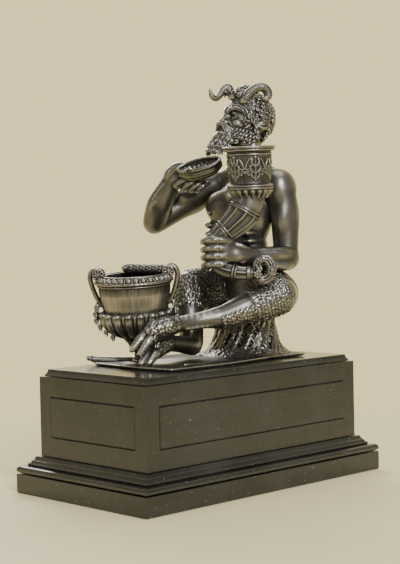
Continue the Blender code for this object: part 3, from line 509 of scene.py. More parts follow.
def ground(clay, random):
    """The thin plate, the rocky mound he sits on, and the leaf-ended tongue beside the urn."""
    clay.add(plate(GROUND_OUTLINE, -4, PLATE_TOP))
    for a, b in zip(GROUND_OUTLINE, GROUND_OUTLINE[1:] + GROUND_OUTLINE[:1]):
        clay.add(limb((*a, PLATE_TOP - 0.45), (*b, PLATE_TOP - 0.45), 0.75, 0.75), 0.1)
        clay.cut(limb((*a, 0.55), (*b, 0.55), 0.45, 0.45), 0.1)
    add_chain(clay, [(-40, 30, 2.5), (-56, 43, 3.2), (-67, 52, 4.2)], [2.2, 2.0, 1.6], 1.5)
    for i in range(6):
        angle = tau * i / 6
        petal = (-68 + 1.6 * cos(angle), 53 + 1.6 * sin(angle), 5.0)
        clay.add(egg(petal, (1.3, 1.3, 2.2)), 0.3)
    clay.add(limb((50, 0, 12), (51, 0, 34), 22, 21.5), 3)
    clay.add(egg((49, 0, 1), (35, 31, 11)), 6)
    for i in range(58):
        angle = tau * (i + 0.6 * random.random()) / 58
        twist = random.uniform(0.15, 0.9)
        root = (49 + 37 * cos(angle), 32 * sin(angle), 2)
        low = (49.5 + 29 * cos(angle + twist * 0.3), 26.5 * sin(angle + twist * 0.3), random.uniform(5, 9))
        turn = angle + twist * 0.6
        middle = (50 + 24.5 * cos(turn), 23.5 * sin(turn), random.uniform(12, 20))
        top = (50 + 22 * cos(angle + twist), 21.5 * sin(angle + twist), random.uniform(24, 36))
        add_chain(clay, [root, low, middle, top], [0.6, 1.0, random.uniform(0.9, 1.6), 0.7], 1.6, 12)
    tufts = []
    for _ in range(1500):
        angle, share = random.uniform(0, tau), random.random()
        out = np.array([cos(angle), sin(angle), 0.25 + 0.5 * (1 - share)])
        out /= np.linalg.norm(out)
        reach = 38 - 15 * share**0.5
        here = np.array([49 + reach * cos(angle), (reach - 4) * sin(angle), 2.5 + 27 * share**1.6])
        here = seated(clay, here, out, 0)
        course = np.array([-sin(angle) * 0.7, cos(angle) * 0.7, -0.9])
        course -= out * (course @ out)
        tip = seated(clay, here + course * random.uniform(2, 4.5), out, 0.1)
        tufts.append(limb(here, tip, random.uniform(0.4, 0.65), 0.25))
    for tuft in tufts:
        clay.add(tuft, 0.25)
    add_chain(clay, [(-46, -30, 2.4), (-20, -34, 2.3), (20, -30, 2.4)], [0.9, 0.7, 0.4], 0.8, 12)


def torso(clay):
    clay.add(egg((48, 0, 112), (20, 28, 28)))
    clay.add(egg((57, 0, 126), (16, 32, 18)), 6)
    clay.add(egg((44, 0, 80), (20, 22, 26)), 8)
    clay.add(egg((54, 0, 50), (23, 27, 22)), 8)
    clay.add(limb((58, 1, 138), (56, 2, 172), 13, 12), 5)
    for side in (-1, 1):
        clay.add(limb((58, 0, 152), (54, 30 * side, 139), 8, 9), 8)
        clay.add(egg((34.5, 12 * side, 120), (8, 13, 11)), 6)
        clay.add(egg((26.4, 15 * side, 114.5), (1.5, 1.8, 1.8)), 0.8)
        clay.add(egg((25.4, 15 * side, 114.3), (1.0, 0.8, 0.8)), 0.3)
        for row in range(3):
            clay.add(egg((27.0 + 0.6 * row, 5.8 * side, 101.5 - 10 * row), (4.2, 6, 5.4)), 2.4)
        for row in range(4):
            rib = (33.5 + 1.4 * row, (18.5 + 1.4 * row) * side, 105 - 6.5 * row)
            clay.add(egg(rib, (7.5, 5, 2.9)), 2)
        clay.add(egg((44, 20 * side, 88), (10, 6, 8)), 4)
        collarbone = [(47, 3 * side, 149), (50, 14 * side, 147.5), (52, 28 * side, 144.5)]
        add_chain(clay, collarbone, [2.2, 2, 1.8], 2, 10)
        neck_cord = [(54, 9 * side, 168), (50, 6 * side, 158), (47.5, 2.5 * side, 150)]
        add_chain(clay, neck_cord, [3.0, 2.8, 2.0], 2.5, 10)
        blade = [(65, 8 * side, 143), (67, 15 * side, 129), (65, 11 * side, 113)]
        add_chain(clay, blade, [4.5, 5.5, 3.5], 5, 10)
        clay.add(egg((66, 12 * side, 52), (13, 13, 15)), 4)
    clay.cut(egg((23, 0, 76), (3, 1.6, 1.6)), 1)
    add_chain(clay, [(23.8, 0, 128), (21.8, 0, 104), (21, 0, 82)], [1.0, 0.8, 0.5], 2.5, 12, cut=True)
    spine = [(74, 0, 140), (77.5, 0, 118), (71, 0, 88), (74, 0, 66)]
    add_chain(clay, spine, [1.4, 1.6, 1.4, 1.0], 3, 18, cut=True)
    add_chain(clay, [(75, 0, 62), (82, 0, 58), (84, 0, 50), (80, 0, 42)], [3, 3, 2.6, 1.2], 1.5, 12)
    for k in range(7):
        sway = 1.6 * sin(2.2 * k)
        points = [(79, sway, 60 - k), (84.5, 1.3 * sway, 54 - 1.5 * k), (82, 1.5 * sway, 44 - 1.2 * k)]
        add_chain(clay, points, [1.1, 1.0, 0.5], 0.3, 8)


def left_arm(clay):
    clay.add(egg((57, -35, 132), (13, 11, 15)), 4)
    upper = [(55, -33, 134), (58.5, -36.5, 115), (58.5, -37, 97), (57.5, -38, 78)]
    add_chain(clay, upper, [11, 10.5, 9.5, 8.5], 2)
    clay.add(egg((53, -38.5, 110), (7, 7, 13)), 3)
    clay.add(egg((63, -37, 112), (6, 6, 15)), 3)
    clay.add(egg((61.5, -37.5, 75), (6, 6, 6)), 2)
    add_chain(clay, [(59, -39, 78), (42, -37.5, 78), (21, -34, 80), (8, -31, 82)], [8.5, 9, 6.8, 6], 2)
    add_chain(clay, [(56, -43, 82), (44, -44.5, 82), (28, -39, 83)], [3, 3.8, 2.2], 3, 10)
    add_chain(clay, [(54, -45, 74), (42, -45, 73), (26, -38.5, 76)], [2.5, 3, 1.6], 2.5, 10)
    for k in range(3):
        tendon = [(34, -42.6, 83 - 3.5 * k), (24, -39.8, 83.5 - 3 * k), (15, -37.4, 85 - 2.6 * k)]
        add_chain(clay, tendon, [0.5, 0.8, 0.7], 1, 8)


HORN_GRIP = (-2.2, -18.8)
GRIP_RADIUS = 9.4
KNUCKLE_DEGREES = -62
GRIP_BENDS = [(6, 3.2, -1.6), (-12, 2.6, -0.6), (-36, 1.3, 0.2), (-62, 0.6, 0.4), (-86, 0.2, 0.2)]
GRIP_BENDS += [(-115, 0, -0.4), (-150, -0.6, -1.0)]


def left_hand(clay):
    """The back of the hand is on the near side of the horn and four fingers close round it."""
    clay.add(egg((8, -30.5, 83), (9.5, 5.5, 9.5)), 3)
    clay.add(egg((1.5, -29.5, 84), (7, 4.6, 10.5)), 2)
    for i in range(4):
        height = 93.1 - 6.05 * i
        places = [grip_place(*bend, height) for bend in GRIP_BENDS]
        add_chain(clay, places, [3.3, 3.2, 2.8, 2.75, 2.9, 2.5, 2.1], 0.9, 26)
        clay.add(egg(places[1], (3.2, 3.2, 3.3)), 1.0)
        clay.add(egg(places[3], (2.9, 2.9, 3.0)), 0.7)
        wrist = (20, -37.5, 84.5 - 2.0 * i)
        knuckle = places[0]
        add_chain(clay, [wrist, (11, -36.3, height * 0.5 + 42 - i), knuckle], [0.9, 1.3, 1.8], 1.2, 10)
        for k in range(3):
            crease = radians(KNUCKLE_DEGREES - 66 + 6 * k)
            edge = np.array([cos(crease), sin(crease), 0]) * (GRIP_RADIUS + 3.6)
            middle = np.array([HORN_GRIP[0], HORN_GRIP[1], height + 0.3]) + edge
            clay.cut(limb(middle - (0, 0, 2), middle + (0, 0, 2), 0.32, 0.32), 0.3)
    add_chain(clay, [(9, -27, 87), (6, -17, 93), (1, -9, 94)], [4, 3.4, 2.7], 1.5, 10)
    add_chain(clay, [(13, -36.5, 88), (9, -35.6, 86), (6, -35.3, 82)], [0.5, 0.6, 0.5], 0.6, 8)


def grip_place(degrees, rise, lift, height):
    """A place on a finger round the horn: degrees past the knuckles, rise off the horn, lift."""
    angle, radius = radians(KNUCKLE_DEGREES + degrees), GRIP_RADIUS + rise
    return (HORN_GRIP[0] + radius * cos(angle), HORN_GRIP[1] + radius * sin(angle), height + lift)


def right_arm(clay):
    clay.add(egg((50, 34, 135), (13, 12, 14)), 4)
    add_chain(clay, [(50, 34, 136), (32, 45, 125), (9, 59, 109)], [11, 10, 8.5], 2)
    clay.add(egg((31, 43, 129), (13, 7, 8)), 4)
    clay.add(egg((35, 45, 121), (13, 7, 6)), 4)
    clay.add(egg((8, 61, 106), (6, 6, 6)), 2)
    add_chain(clay, [(8, 60, 108), (4.5, 49, 122), (6, 38, 138), (7, 34, 144)], [8.5, 9.2, 7, 6], 2)
    add_chain(clay, [(2, 57, 112), (-2.5, 48, 124), (1, 39, 138)], [3, 4, 2.2], 3, 10)


def right_hand(clay):
    """The palm is behind the shell's narrow end; fingers come from below and the thumb lies along it."""
    clay.add(egg((7, 31, 143), (7, 8, 7.5)), 3)
    clay.add(egg((10, 25, 139), (6.5, 8, 5.5)), 2.5)
    knuckles = [(4.2, 28.9, 137.0), (8.4, 24.4, 134.6), (12.2, 20.6, 133.2), (15.6, 17.4, 132.6)]
    tips = [(10.8, 19.8, 143.6), (15.0, 15.8, 141.8), (18.6, 12.6, 140.0), (21.2, 10.6, 138.2)]
    for i, (knuckle, tip) in enumerate(zip(knuckles, tips)):
        near = np.array([-2.6, -2.7, 0.3])
        middle = (np.array(knuckle) + tip) / 2 + near * 0.9
        root = np.array(knuckle) - near * 1.6 + (0, 0, 2.5)
        size = 3.0 - 0.2 * i
        places = [root, np.array(knuckle) + near * 0.3, middle, tip]
        add_chain(clay, places, [size, size, size * 0.93, size * 0.75], 0.3, 14)
        clay.add(egg(np.array(knuckle) + near * 0.45, (size * 0.85,) * 3), 0.7)
    thumb = [(5, 34.5, 146), (4.6, 29, 150.5), (8, 21, 151.5), (12.5, 14.5, 149.8)]
    add_chain(clay, thumb, [4.4, 4.0, 3.2, 2.5], 1.0, 14)
    add_chain(clay, [(2.6, 36, 141), (1.6, 33, 146.5), (4, 28, 151)], [3.2, 3.6, 3.0], 1.5, 10)


SHELL_CENTRE = np.array([11, 8.5, 150.0])
SHELL_LENGTH = 18.0


def shell_axes():
    """Columns: along the shell towards the face, across it, and out of its mouth."""
    along = np.array([19, -28, 7.0])
    along /= np.linalg.norm(along)
    opening = np.array([-0.35, -0.5, 0.8])
    opening -= along * (opening @ along)
    opening /= np.linalg.norm(opening)
    return np.stack([along, np.cross(opening, along), opening], 1)


# Which way across the shell is the camera's far side, 1 or -1
SHELL_NEAR = 1 if shell_axes()[:, 1] @ np.array([0.69, 0.72, 0]) > 0 else -1


def shell(clay, random):
    """A ribbed shell, open above, with a rolled double lip and a scroll at its near end."""
    axes = shell_axes()
    along, across, opening = axes.T
    clay.add(egg(SHELL_CENTRE, (SHELL_LENGTH, 8.8, 8.4), axes), 1)
    for k in range(9):
        tilt = radians(-82 + 164 * k / 8)
        points = []
        for share in np.linspace(-0.92, 0.96, 7):
            ring = (1 - share * share) ** 0.5
            spot = across * 8.6 * sin(tilt) * ring - opening * 8.2 * cos(tilt) * ring
            points.append(SHELL_CENTRE + along * SHELL_LENGTH * share + spot)
        add_chain(clay, points, [0.6, 0.9, 1.0, 1.1, 1.0, 0.9, 0.6], 0.5, 16)
    clay.cut(egg(SHELL_CENTRE + opening * 4, (16.3, 6.9, 7.8), axes), 0.4)
    for size, lift, girth in ((17.2, 3.2, 1.2), (16.6, 0.6, 0.7)):
        for i in range(24):
            a, b = tau * i / 24, tau * (i + 1) / 24
            wide = 7.7 if lift > 2 else 8.6
            lip = [
                SHELL_CENTRE + along * size * cos(t) + across * wide * sin(t) + opening * lift
                for t in (a, b)
            ]
            clay.add(limb(lip[0], lip[1], girth, girth), 0.3)
    for _ in range(150):
        share, swing = random.uniform(-0.8, 0.8), random.uniform(-1.1, 1.1)
        ring = (1 - share * share) ** 0.5
        spot = SHELL_CENTRE + opening * 4 + along * 16.3 * share
        spot = spot + across * 6.9 * sin(swing) * ring - opening * 7.8 * cos(swing) * ring
        clay.cut(egg(spot, (0.7, 0.7, 0.7)), 0.2)
    scroll = SHELL_CENTRE - along * 7.5 - across * 7.2 * SHELL_NEAR + opening * 3.4
    for i in range(14):
        angles = [tau * 1.3 * t / 14 for t in (i, i + 1)]
        ends = [
            scroll + (along * cos(a) + opening * sin(a)) * (3.3 - 0.19 * j)
            for j, a in zip((i, i + 1), angles)
        ]
        clay.add(limb(ends[0], ends[1], 0.95, 0.9), 0.1)


def right_leg(clay, random):
    add_chain(clay, [(58, 16, 50), (36, 20, 54), (12, 22, 58)], [17.5, 15.5, 10.5], 4)
    add_chain(clay, [(9, 22, 58), (3, 16, 44), (-3, 8, 26), (-7, 2, 13)], [10.5, 9.7, 7.5, 6], 3)
    add_chain(clay, [(-7, 2, 12), (-24, 0.5, 15), (-40, -1.5, 17)], [6.5, 5.5, 5.5], 2)
    add_chain(clay, [(-40, -1, 17), (-50, -3.5, 14)], [6, 5.5], 2)
    add_chain(clay, [(0, 13, 48), (-5, 7, 34), (-10, 0, 20)], [1.6, 1.8, 1.4], 2, 12)
    for tip, knuckle in (((-69, -8, 4.2), (-52, -2, 13)), ((-64.5, -11.5, 4.2), (-50, -7, 12.5))):
        toe(clay, knuckle, tip)
    pelt(clay, [(56, 17, 52), (34, 20.5, 55), (8, 22.5, 59)], [17.5, 15.5, 10.5], 5.0, 1.9, random)
    pelt(clay, [(12, 22.5, 58), (6, 20, 53), (1, 14.5, 42)], [10.8, 10.6, 9.5], 6.0, 1.9, random, fall=0.6)
    shin = [(3, 16, 44), (-3, 8, 26), (-6, 3, 15)]
    pelt(clay, shin, [9.5, 7.5, 6.2], 4.8, 1.9, random, (pi * 0.45, pi * 1.45))
    pelt(clay, [(-36, -1, 17), (-44, -2, 16), (-52, -4, 13)], [5.6, 6.0, 5.4], 5.5, 1.9, random, fall=0.5)


def toe(clay, knuckle, tip):
    """One toe of a cloven foot: a knotted joint and a wrinkled horny claw with a ridge down its front."""
    knuckle, tip = np.array(knuckle, float), np.array(tip, float)
    middle = (knuckle * 0.55 + tip * 0.45) + (-0.6, -0.6, 0.9)
    add_chain(clay, [knuckle, middle, tip], [3.9, 3.5, 2.1], 0.6, 14)
    clay.add(egg(middle, (3.7, 3.7, 3.3)), 0.8)
    route = through([(*knuckle, 3.9), (*middle, 3.5), (*tip, 2.1)], 24)
    tube_rings(clay, route, (3, 5, 7, 13, 15, 17, 19, 21), 0.42, -0.05)
    front = np.array([-0.55, -0.6, 0.55])
    clay.add(limb(middle + front * 3.4, tip + front * 1.9, 0.55, 0.35), 0.3)


def left_leg(clay, random):
    add_chain(clay, [(56, -14, 50), (49, -32, 52), (40, -47, 50)], [17.5, 14.5, 11.5], 4)
    add_chain(clay, [(39, -47, 49), (20, -37, 43), (0, -28, 36), (-8, -24, 34)], [11.5, 10.5, 7.5, 6], 3)
    add_chain(clay, [(-4, -26, 35), (-26, -17, 32.5), (-46.5, -12.5, 30)], [7, 5.2, 5.2], 2)
    add_chain(clay, [(-46.5, -12.5, 30), (-57.5, -6.8, 27)], [6, 5.3], 2)
    sinew = [(20, -40, 51), (2, -33, 41.5), (-20, -22.5, 37), (-40, -17, 34)]
    add_chain(clay, sinew, [1.2, 1.7, 1.3, 0.9], 2, 14)
    add_chain(clay, [(6, -36, 33), (-14, -26, 30), (-34, -19.5, 28)], [1.2, 1.6, 1.0], 1.5, 12)
    for tip, knuckle in (((-73, -2, 14.3), (-58.5, -3.8, 26)), ((-69.5, -7, 11.3), (-56.5, -8.8, 25))):
        toe(clay, knuckle, tip)
    clay.add(egg((-47, -16, 32), (4, 3, 3.2)), 1.2)
    pelt(clay, [(60, -16, 50), (52, -30, 52), (43, -44, 50.5)], [17.5, 15, 12.3], 4.6, 1.8, random)
    pelt(clay, [(45, -48, 50), (34, -45, 48), (20, -37.5, 43)], [12.4, 11.8, 10.6], 4.6, 1.8, random)
    shin = [(22, -38, 43), (8, -31.5, 39), (-4, -26, 35)]
    pelt(clay, shin, [10, 8, 6.6], 4.4, 1.8, random, (pi * 0.55, pi * 1.5))
    pelt(clay, [(30, -40, 42), (36, -34, 32), (40, -28, 22)], [8.5, 8, 5.5], 5.2, 1.9, random, fall=0.8)
    pelt(clay, [(-38, -14.5, 31), (-47, -12.5, 30), (-57, -7, 27)], [5.3, 5.9, 5.4], 5, 1.9, random, fall=0.5)


def head(clay):
    clay.add(limb(on_head(-6, 0, -22), on_head(-4, 0, -6), 8.5, 11), 0)
    clay.add(head_egg((-3, 0, 6), (20, 15.5, 19)), 3)
    clay.add(head_egg((4.5, 0, 13), (10.5, 12, 9.5)), 3)
    clay.add(head_egg((7, 0, -7), (10.5, 11.5, 15)), 4)
    clay.add(head_egg((13.5, 0, -11), (6.5, 7.5, 6.5)), 3)
    for side in (-1, 1):
        brow_and_eye(clay, side)
        cheek(clay, side)
        ear(clay, side)
    nose(clay)
    mouth(clay)
    moustache(clay)


def brow_and_eye(clay, side):
    """A knotted brow with furrows over it, a deep eye with two lids, and the bags below."""
    inner, crest, outer = (17.6, 1.8 * side, 3.4), (16.2, 6.4 * side, 6.6), (11.2, 12.2 * side, 5.2)
    head_line(clay, [inner, crest, outer], [2.2, 2.0, 1.2], 0.8, 12)
    for reach, girth in ((7.4, 0.95), (9.4, 0.85), (11.4, 0.75), (13.4, 0.6)):
        line = []
        for turn in np.linspace(radians(158), radians(-62), 12):
            left = 6.8 + reach * 0.92 * cos(turn)
            spot = on_head(15 - 0.028 * left * left, left * side, 0.6 + reach * sin(turn))
            out = head_way(1, 0.045 * left * side, 0.3 * sin(turn))
            line.append(seated(clay, spot, out / np.linalg.norm(out), -0.15))
        add_chain(clay, line, [girth * 0.6] + [girth] * 8 + [girth * 0.8, girth * 0.6, girth * 0.3], 0.25, 26)
    for k in range(9):
        share = (k + 0.5) / 9
        start = np.array(inner) * (1 - share) + np.array(outer) * share
        start = start + (0.6, 0, 1.3 + 2.6 * sin(pi * share))
        end = start + (0.6, 1.3 * side, 1.6)
        clay.add(limb(on_head(*start), on_head(*end), 0.6, 0.3), 0.2)
    clay.cut(head_egg((17.0, 6.7 * side, 0.9), (4.2, 4.3, 3.0)), 0.6)
    clay.add(head_egg((12.7, 6.9 * side, 0.5), (3.1, 3.4, 3.0)), 0.2)
    upper = [(13.8, 3.1 * side, 0.2), (16.3, 6.3 * side, 2.7), (12.4, 10.9 * side, 1.0)]
    head_line(clay, upper, [0.6, 1.0, 0.6], 0.15, 12)
    lower = [(13.8, 3.1 * side, 0.0), (15.7, 6.5 * side, -1.6), (12.4, 10.8 * side, 0.4)]
    head_line(clay, lower, [0.6, 0.7, 0.6], 0.15, 12)
    for drop, girth in ((1.7, 0.9), (3.4, 0.75)):
        bag = [(14.8 - 0.3 * drop, 3.6 * side, -0.9 - 0.4 * drop), (15.0, 6.8 * side, -1.5 - drop)]
        bag += [(11.6, (11 + 0.3 * drop) * side, -0.2 - drop)]
        head_line(clay, bag, [0.6, girth, 0.5], 0.3, 12)
    clay.cut(head_egg((15.7, 6.6 * side, 0.6), (0.6, 0.95, 0.95)), 0.1)


def cheek(clay, side):
    """A drawn cheek: the bone, folds that fan from the nose, and creases to the ear."""
    clay.add(head_egg((11.2, 9.0 * side, -5.4), (5.2, 4.6, 3.6)), 1.2)
    for k in range(4):
        start = (17.6 - 0.8 * k, (3.9 + 1.0 * k) * side, -4.4 - 0.6 * k)
        middle = (15.6 - 0.9 * k, (7.6 + 0.9 * k) * side, -7.6 - 0.2 * k)
        end = (11.8 - 1.2 * k, (10.4 + 0.5 * k) * side, -12.6 + 1.2 * k)
        head_line(clay, [start, middle, end], [0.9, 1.15 - 0.1 * k, 0.7], 0.25, 10)


def nose(clay):
    """A broad blunt nose with round wings and a furrowed root."""
    clay.add(limb(on_head(15.6, 0, 4), on_head(19.6, 0, -3.8), 2.0, 2.5), 1.2)
    clay.add(head_egg((20.6, 0, -5.0), (2.7, 2.9, 2.4)), 0.8)
    for side in (-1, 1):
        clay.add(head_egg((18.6, 3.1 * side, -5.9), (2.5, 2.0, 2.0)), 0.5)
        clay.cut(head_egg((20.2, 1.8 * side, -7.7), (1.1, 0.9, 1.0)), 0.2)
        furrow = [on_head(16.8, 1.1 * side, 4.0), on_head(16.2, 1.9 * side, 8.6)]
        clay.cut(limb(furrow[0], furrow[1], 0.45, 0.3), 0.3)
    for k in range(3):
        ahead, drop = 0.8 * k, 1.6 * k
        wrinkle = [(17.0 + ahead, -1.9, 3.0 - drop), (18.4 + ahead, 0, 3.6 - drop)]
        wrinkle += [(17.0 + ahead, 1.9, 3.0 - drop)]
        head_line(clay, wrinkle, [0.4, 0.6, 0.4], 0.2, 6)


def mouth(clay):
    """An open mouth between two full lips, with the teeth and the tongue in its hollow."""
    clay.cut(head_egg((19.6, 0, -13.4), (5.5, 4.9, 2.4)), 0.3)
    clay.add(head_egg((15.6, 0, -14.6), (3.6, 3.2, 1.2)), 0.2)
    for k in range(-2, 3):
        clay.add(head_egg((16.2 - 0.25 * abs(k), 1.3 * k, -11.8), (0.7, 0.62, 0.9)), 0.05)
    upper = [(15.4, -5.6, -13.2), (18.6, -3, -11.3), (19.2, 0, -11.6), (18.6, 3, -11.3), (15.4, 5.6, -13.2)]
    head_line(clay, upper, [0.8, 1.1, 1.0, 1.1, 0.8], 0.25, 16)
    lower = [(15.2, -5.4, -14.2), (18.2, -3, -16.4), (18.8, 0, -16.8), (18.2, 3, -16.4), (15.2, 5.4, -14.2)]
    head_line(clay, lower, [0.9, 1.3, 1.4, 1.3, 0.9], 0.25, 16)


def moustache(clay):
    """Wavy strands that part under the nose, sweep out over the mouth's corners and turn up at their ends."""
    for side in (-1, 1):
        for k in range(6):
            start = (20.2 - 0.2 * k, (0.7 + 0.35 * k) * side, -8.0 - 0.35 * k)
            rise = (22.6 - 0.5 * k, (3.2 + 0.6 * k) * side, -7.8 - 1.0 * k)
            middle = (19.2 - 0.7 * k, (6.8 + 0.6 * k) * side, -9.4 - 1.5 * k)
            end = (14.6 - 0.8 * k, (10.2 + 0.25 * k) * side, -11.4 - 1.9 * k)
            turn = (12.4 - 0.6 * k, (11.8 + 0.1 * k) * side, -10.2 - 1.9 * k)
            head_line(clay, [start, rise, middle, end, turn], [0.6, 0.95, 0.9, 0.8, 0.4], 0.05, 18)
            finer = [(p[0] + 0.5, p[1] + 0.2 * side, p[2] + 0.75) for p in (start, rise, middle, end)]
            head_line(clay, finer, [0.3, 0.5, 0.45, 0.25], 0.05, 16)


def ear(clay, side):
    """A small pointed ear that lies back in the hair."""
    root, tip = (-1.5, 15.4 * side, -2.6), (-11, 18.6 * side, 0.8)
    head_line(clay, [root, (-6, 17.8 * side, -2.0), tip], [2.6, 2.6, 0.8], 0.6, 10)
    hollow = [(-2.4, 18.0 * side, -2.4), (-6.0, 20.2 * side, -1.6), tip]
    head_line(clay, hollow, [0.6, 0.9, 0.2], 0.3, 10, cut=True)
    head_line(clay, [(0.4, 16.0 * side, -1.4), (-4.8, 19.0 * side, 0.6), tip], [0.8, 0.9, 0.5], 0.2, 10)


def hair(clay, random):
    """Snail curls in rings from the crown to the nape, a forelock between the horns, locks at the temples."""
    for ring in range(12):
        polar = radians(6 + 10.5 * ring)
        count = max(4, int(31 * sin(polar)))
        for i in range(count):
            angle = tau * (i + 0.5 * (ring % 2)) / count
            forward, left, up = cos(angle) * sin(polar), sin(angle) * sin(polar), cos(polar)
            if forward > 0.60 and up < 0.80 or forward > 0.46 and up < 0.40 or up < -0.5:
                continue
            out = head_way(forward, left, up)
            lift = random.uniform(-0.6, 1.0)
            centre = on_head(-3 + 20 * forward, 16 * left, 6 + 19 * up) + out * lift
            fall = head_way(0.25 * forward, 0.6 * left, -0.8)
            size = random.uniform(1.8, 2.7)
            snail_curl(clay, centre, out, size, random.uniform(0, tau), random.uniform(1.0, 1.5), fall)
    forelock = [(12.8, -4, 21.5), (13.8, 0.5, 23.5), (12.5, 4.5, 22), (13.6, -1.6, 19), (10, -5.5, 25)]
    forelock += [(9.5, -2, 26.8), (9.8, 2.2, 26.8), (6, 0.5, 28.2), (8.6, 7.2, 21), (7.6, 10, 18)]
    forelock += [(9.4, 8.4, 17.2)]
    forelock += [(5.5, 12, 17.5), (8.6, -8.2, 21.5), (7.6, -11, 17.5), (5.0, 13.6, 13.6), (5.0, -13.6, 13.6)]
    forelock += [(8.2, 11.2, 13.6), (8.2, -11.2, 13.6), (6.2, 13.4, 9.4), (6.2, -13.4, 9.4)]
    for k, place in enumerate(forelock):
        out = HEAD_AXES @ np.array([0.75, 0.08 * place[1], 0.45])
        snail_curl(clay, on_head(*place), out, 2.3, 1.3 * k, 1.4, head_way(0.3, 0, -1.0))
    for left in (3.2, 6.0, -3.0):
        lock = [(12.6, left, 21.5), (14.6, left * 1.1, 18.4), (12.9, left * 1.15, 15.6)]
        twisted_lock(clay, [on_head(*p) for p in lock], [1.7, 1.7, 0.6], twist=0.3)
    for side in (-1, 1):
        for k in range(7):
            top = (5.4 - 1.6 * k, (14.2 + 0.3 * k) * side, 9.5 - 2.4 * k + random.uniform(-1, 1))
            middle = (top[0] + random.uniform(0.5, 2.5), top[1] + 1.5 * side, top[2] - 2.6)
            end = (top[0] + random.uniform(-1.5, 0.5), top[1] + 0.9 * side, top[2] - 5.4)
            twisted_lock(clay, [on_head(*p) for p in (top, middle, end)], [1.5, 1.7, 0.7], 3, 0.25)
            snail_curl(clay, on_head(*end), head_way(0.2, side, 0), 1.9, k, 1.1)
    for row in range(3):
        for k in range(8 - row):
            left = (k - 3.5 + 0.5 * row) * 3.6 + random.uniform(-0.6, 0.6)
            height = -1.5 - 3.4 * row + random.uniform(-0.6, 0.6)
            spot = (-20.0 + 0.035 * left * left + 1.5 * row, left, height)
            out = head_way(-1, 0.05 * left, -0.3)
            fall = head_way(0.2, 0.3, -1.0)
            snail_curl(clay, on_head(*spot), out, random.uniform(2.1, 2.7), random.uniform(0, tau), 1.3, fall)


def beard(clay, random):
    """A jutting beard of wavy locks that end in curls, in rows that narrow towards its point."""
    clay.add(limb(on_head(10, 0, -15), on_head(17, 0, -19.5), 8.6, 6.8), 3)
    clay.add(limb(on_head(17, 0, -19.5), on_head(18, 0, -25.5), 6.6, 5.0), 3)
    for side in (-1, 1):
        clay.add(limb(on_head(9, 8 * side, -12), on_head(-1, 10 * side, -8.5), 4.4, 4.0), 2)
    for row, locks in enumerate((9, 8, 7, 5)):
        wide = 11.0 - 1.5 * row
        base = 9.6 + 2.4 * row
        for i in range(locks):
            angle = radians(-92 + 184 * (i + 0.5 * (row % 2) + 0.25) / locks)
            deep = 0.74 * wide
            sway = random.uniform(-1.1, 1.1)
            root = (base + deep * cos(angle), wide * sin(angle), -13.2 - 3.6 * row)
            aside = (wide + 0.9) * sin(angle) + sway
            upper = (base + 1.8 + (deep + 1.1) * cos(angle), aside, -15.8 - 3.7 * row)
            lower = (base + 2.0 + (deep + 0.3) * cos(angle), wide * sin(angle) - sway, -18.4 - 3.7 * row)
            end = (base + 2.2 + (deep + 0.6) * cos(angle), 0.9 * wide * sin(angle), -20.6 - 3.7 * row)
            size = random.uniform(1.8, 2.3)
            points = [on_head(*p) for p in (root, upper, lower, end)]
            twisted_lock(clay, points, [size * 0.8, size, size, size * 0.7], 4, 0.3, 12)
            out = head_way(cos(angle), sin(angle), 0.1)
            size, spin = random.uniform(2.0, 2.7), random.uniform(0, tau)
            snail_curl(clay, on_head(*end) + out * 0.6, out, size, spin, 1.3)
    for side in (-1, 1):
        for row in range(3):
            for k in range(6):
                start = (11.5 - 2.8 * k - 0.8 * row, (10.6 + 0.6 * k) * side, -8.6 - 2.9 * row + 0.3 * k)
                swing = random.uniform(-1, 1)
                middle = (start[0] + 1.6 + swing, start[1] + (1.6 - 0.3 * row) * side, start[2] - 2.2)
                end = (start[0] + 2.2 - swing, start[1] + (0.4 - 0.6 * row) * side, start[2] - 4.8)
                points = [on_head(*p) for p in (start, middle, end)]
                twisted_lock(clay, points, [1.4, random.uniform(1.5, 2.0), 0.7], 3, 0.2)
                if (k + row) % 2:
                    out = head_way(0.3, side, -0.3)
                    size, spin = random.uniform(1.6, 2.2), random.uniform(0, tau)
                    snail_curl(clay, on_head(*end), out, size, spin, 1.1)
    for k in range(6):
        swing = 0.9 * (k - 2.5)
        points = [(17.4, swing, -17.4), (19.6, swing * 1.5, -20.0), (18.8, swing * 1.7, -23.2)]
        twisted_lock(clay, [on_head(*p) for p in points], [1.2, 1.5, 0.8], 3, 0.25)


def horns(clay):
    """Two ringed horns: the right one hooks out and up, the left one rolls over towards its tip."""
    right = [(46, 6.5, 207), (44.2, 8.2, 214), (40.6, 9.4, 213.2), (36.6, 9.9, 208.6)]
    right += [(33.2, 10.7, 205.6), (30, 11.4, 206), (27.8, 11.8, 208.8), (26.8, 11.7, 212.8)]
    left = [(49, -4, 203), (51.6, -7.6, 209), (56, -11.4, 213), (61, -13.9, 213.5)]
    left += [(64.6, -15.2, 210.2), (64.2, -15.4, 206), (61.4, -15, 204.6)]
    plans = ((right, [3.1, 3.1, 2.5, 2.1, 1.9, 1.7, 1.4, 0.7]), (left, [3.7, 3.4, 3.2, 3.1, 3.2, 2.9, 2.0]))
    for points, radii in plans:
        add_chain(clay, points, radii, 0.6, 36)
        route = tapered(points, radii, 64)
        tube_rings(clay, route, range(5, 54, 2), 0.52, 0.08)
    for k in range(8):
        angle = tau * k / 8
        centre = np.array([44.2, 7.6, 210.4]) + (3.0 * cos(angle), 3.0 * sin(angle), 1.4 * sin(2 * angle))
        snail_curl(clay, centre, (cos(angle), sin(angle), 0.3), 2.0, angle, 1.2)


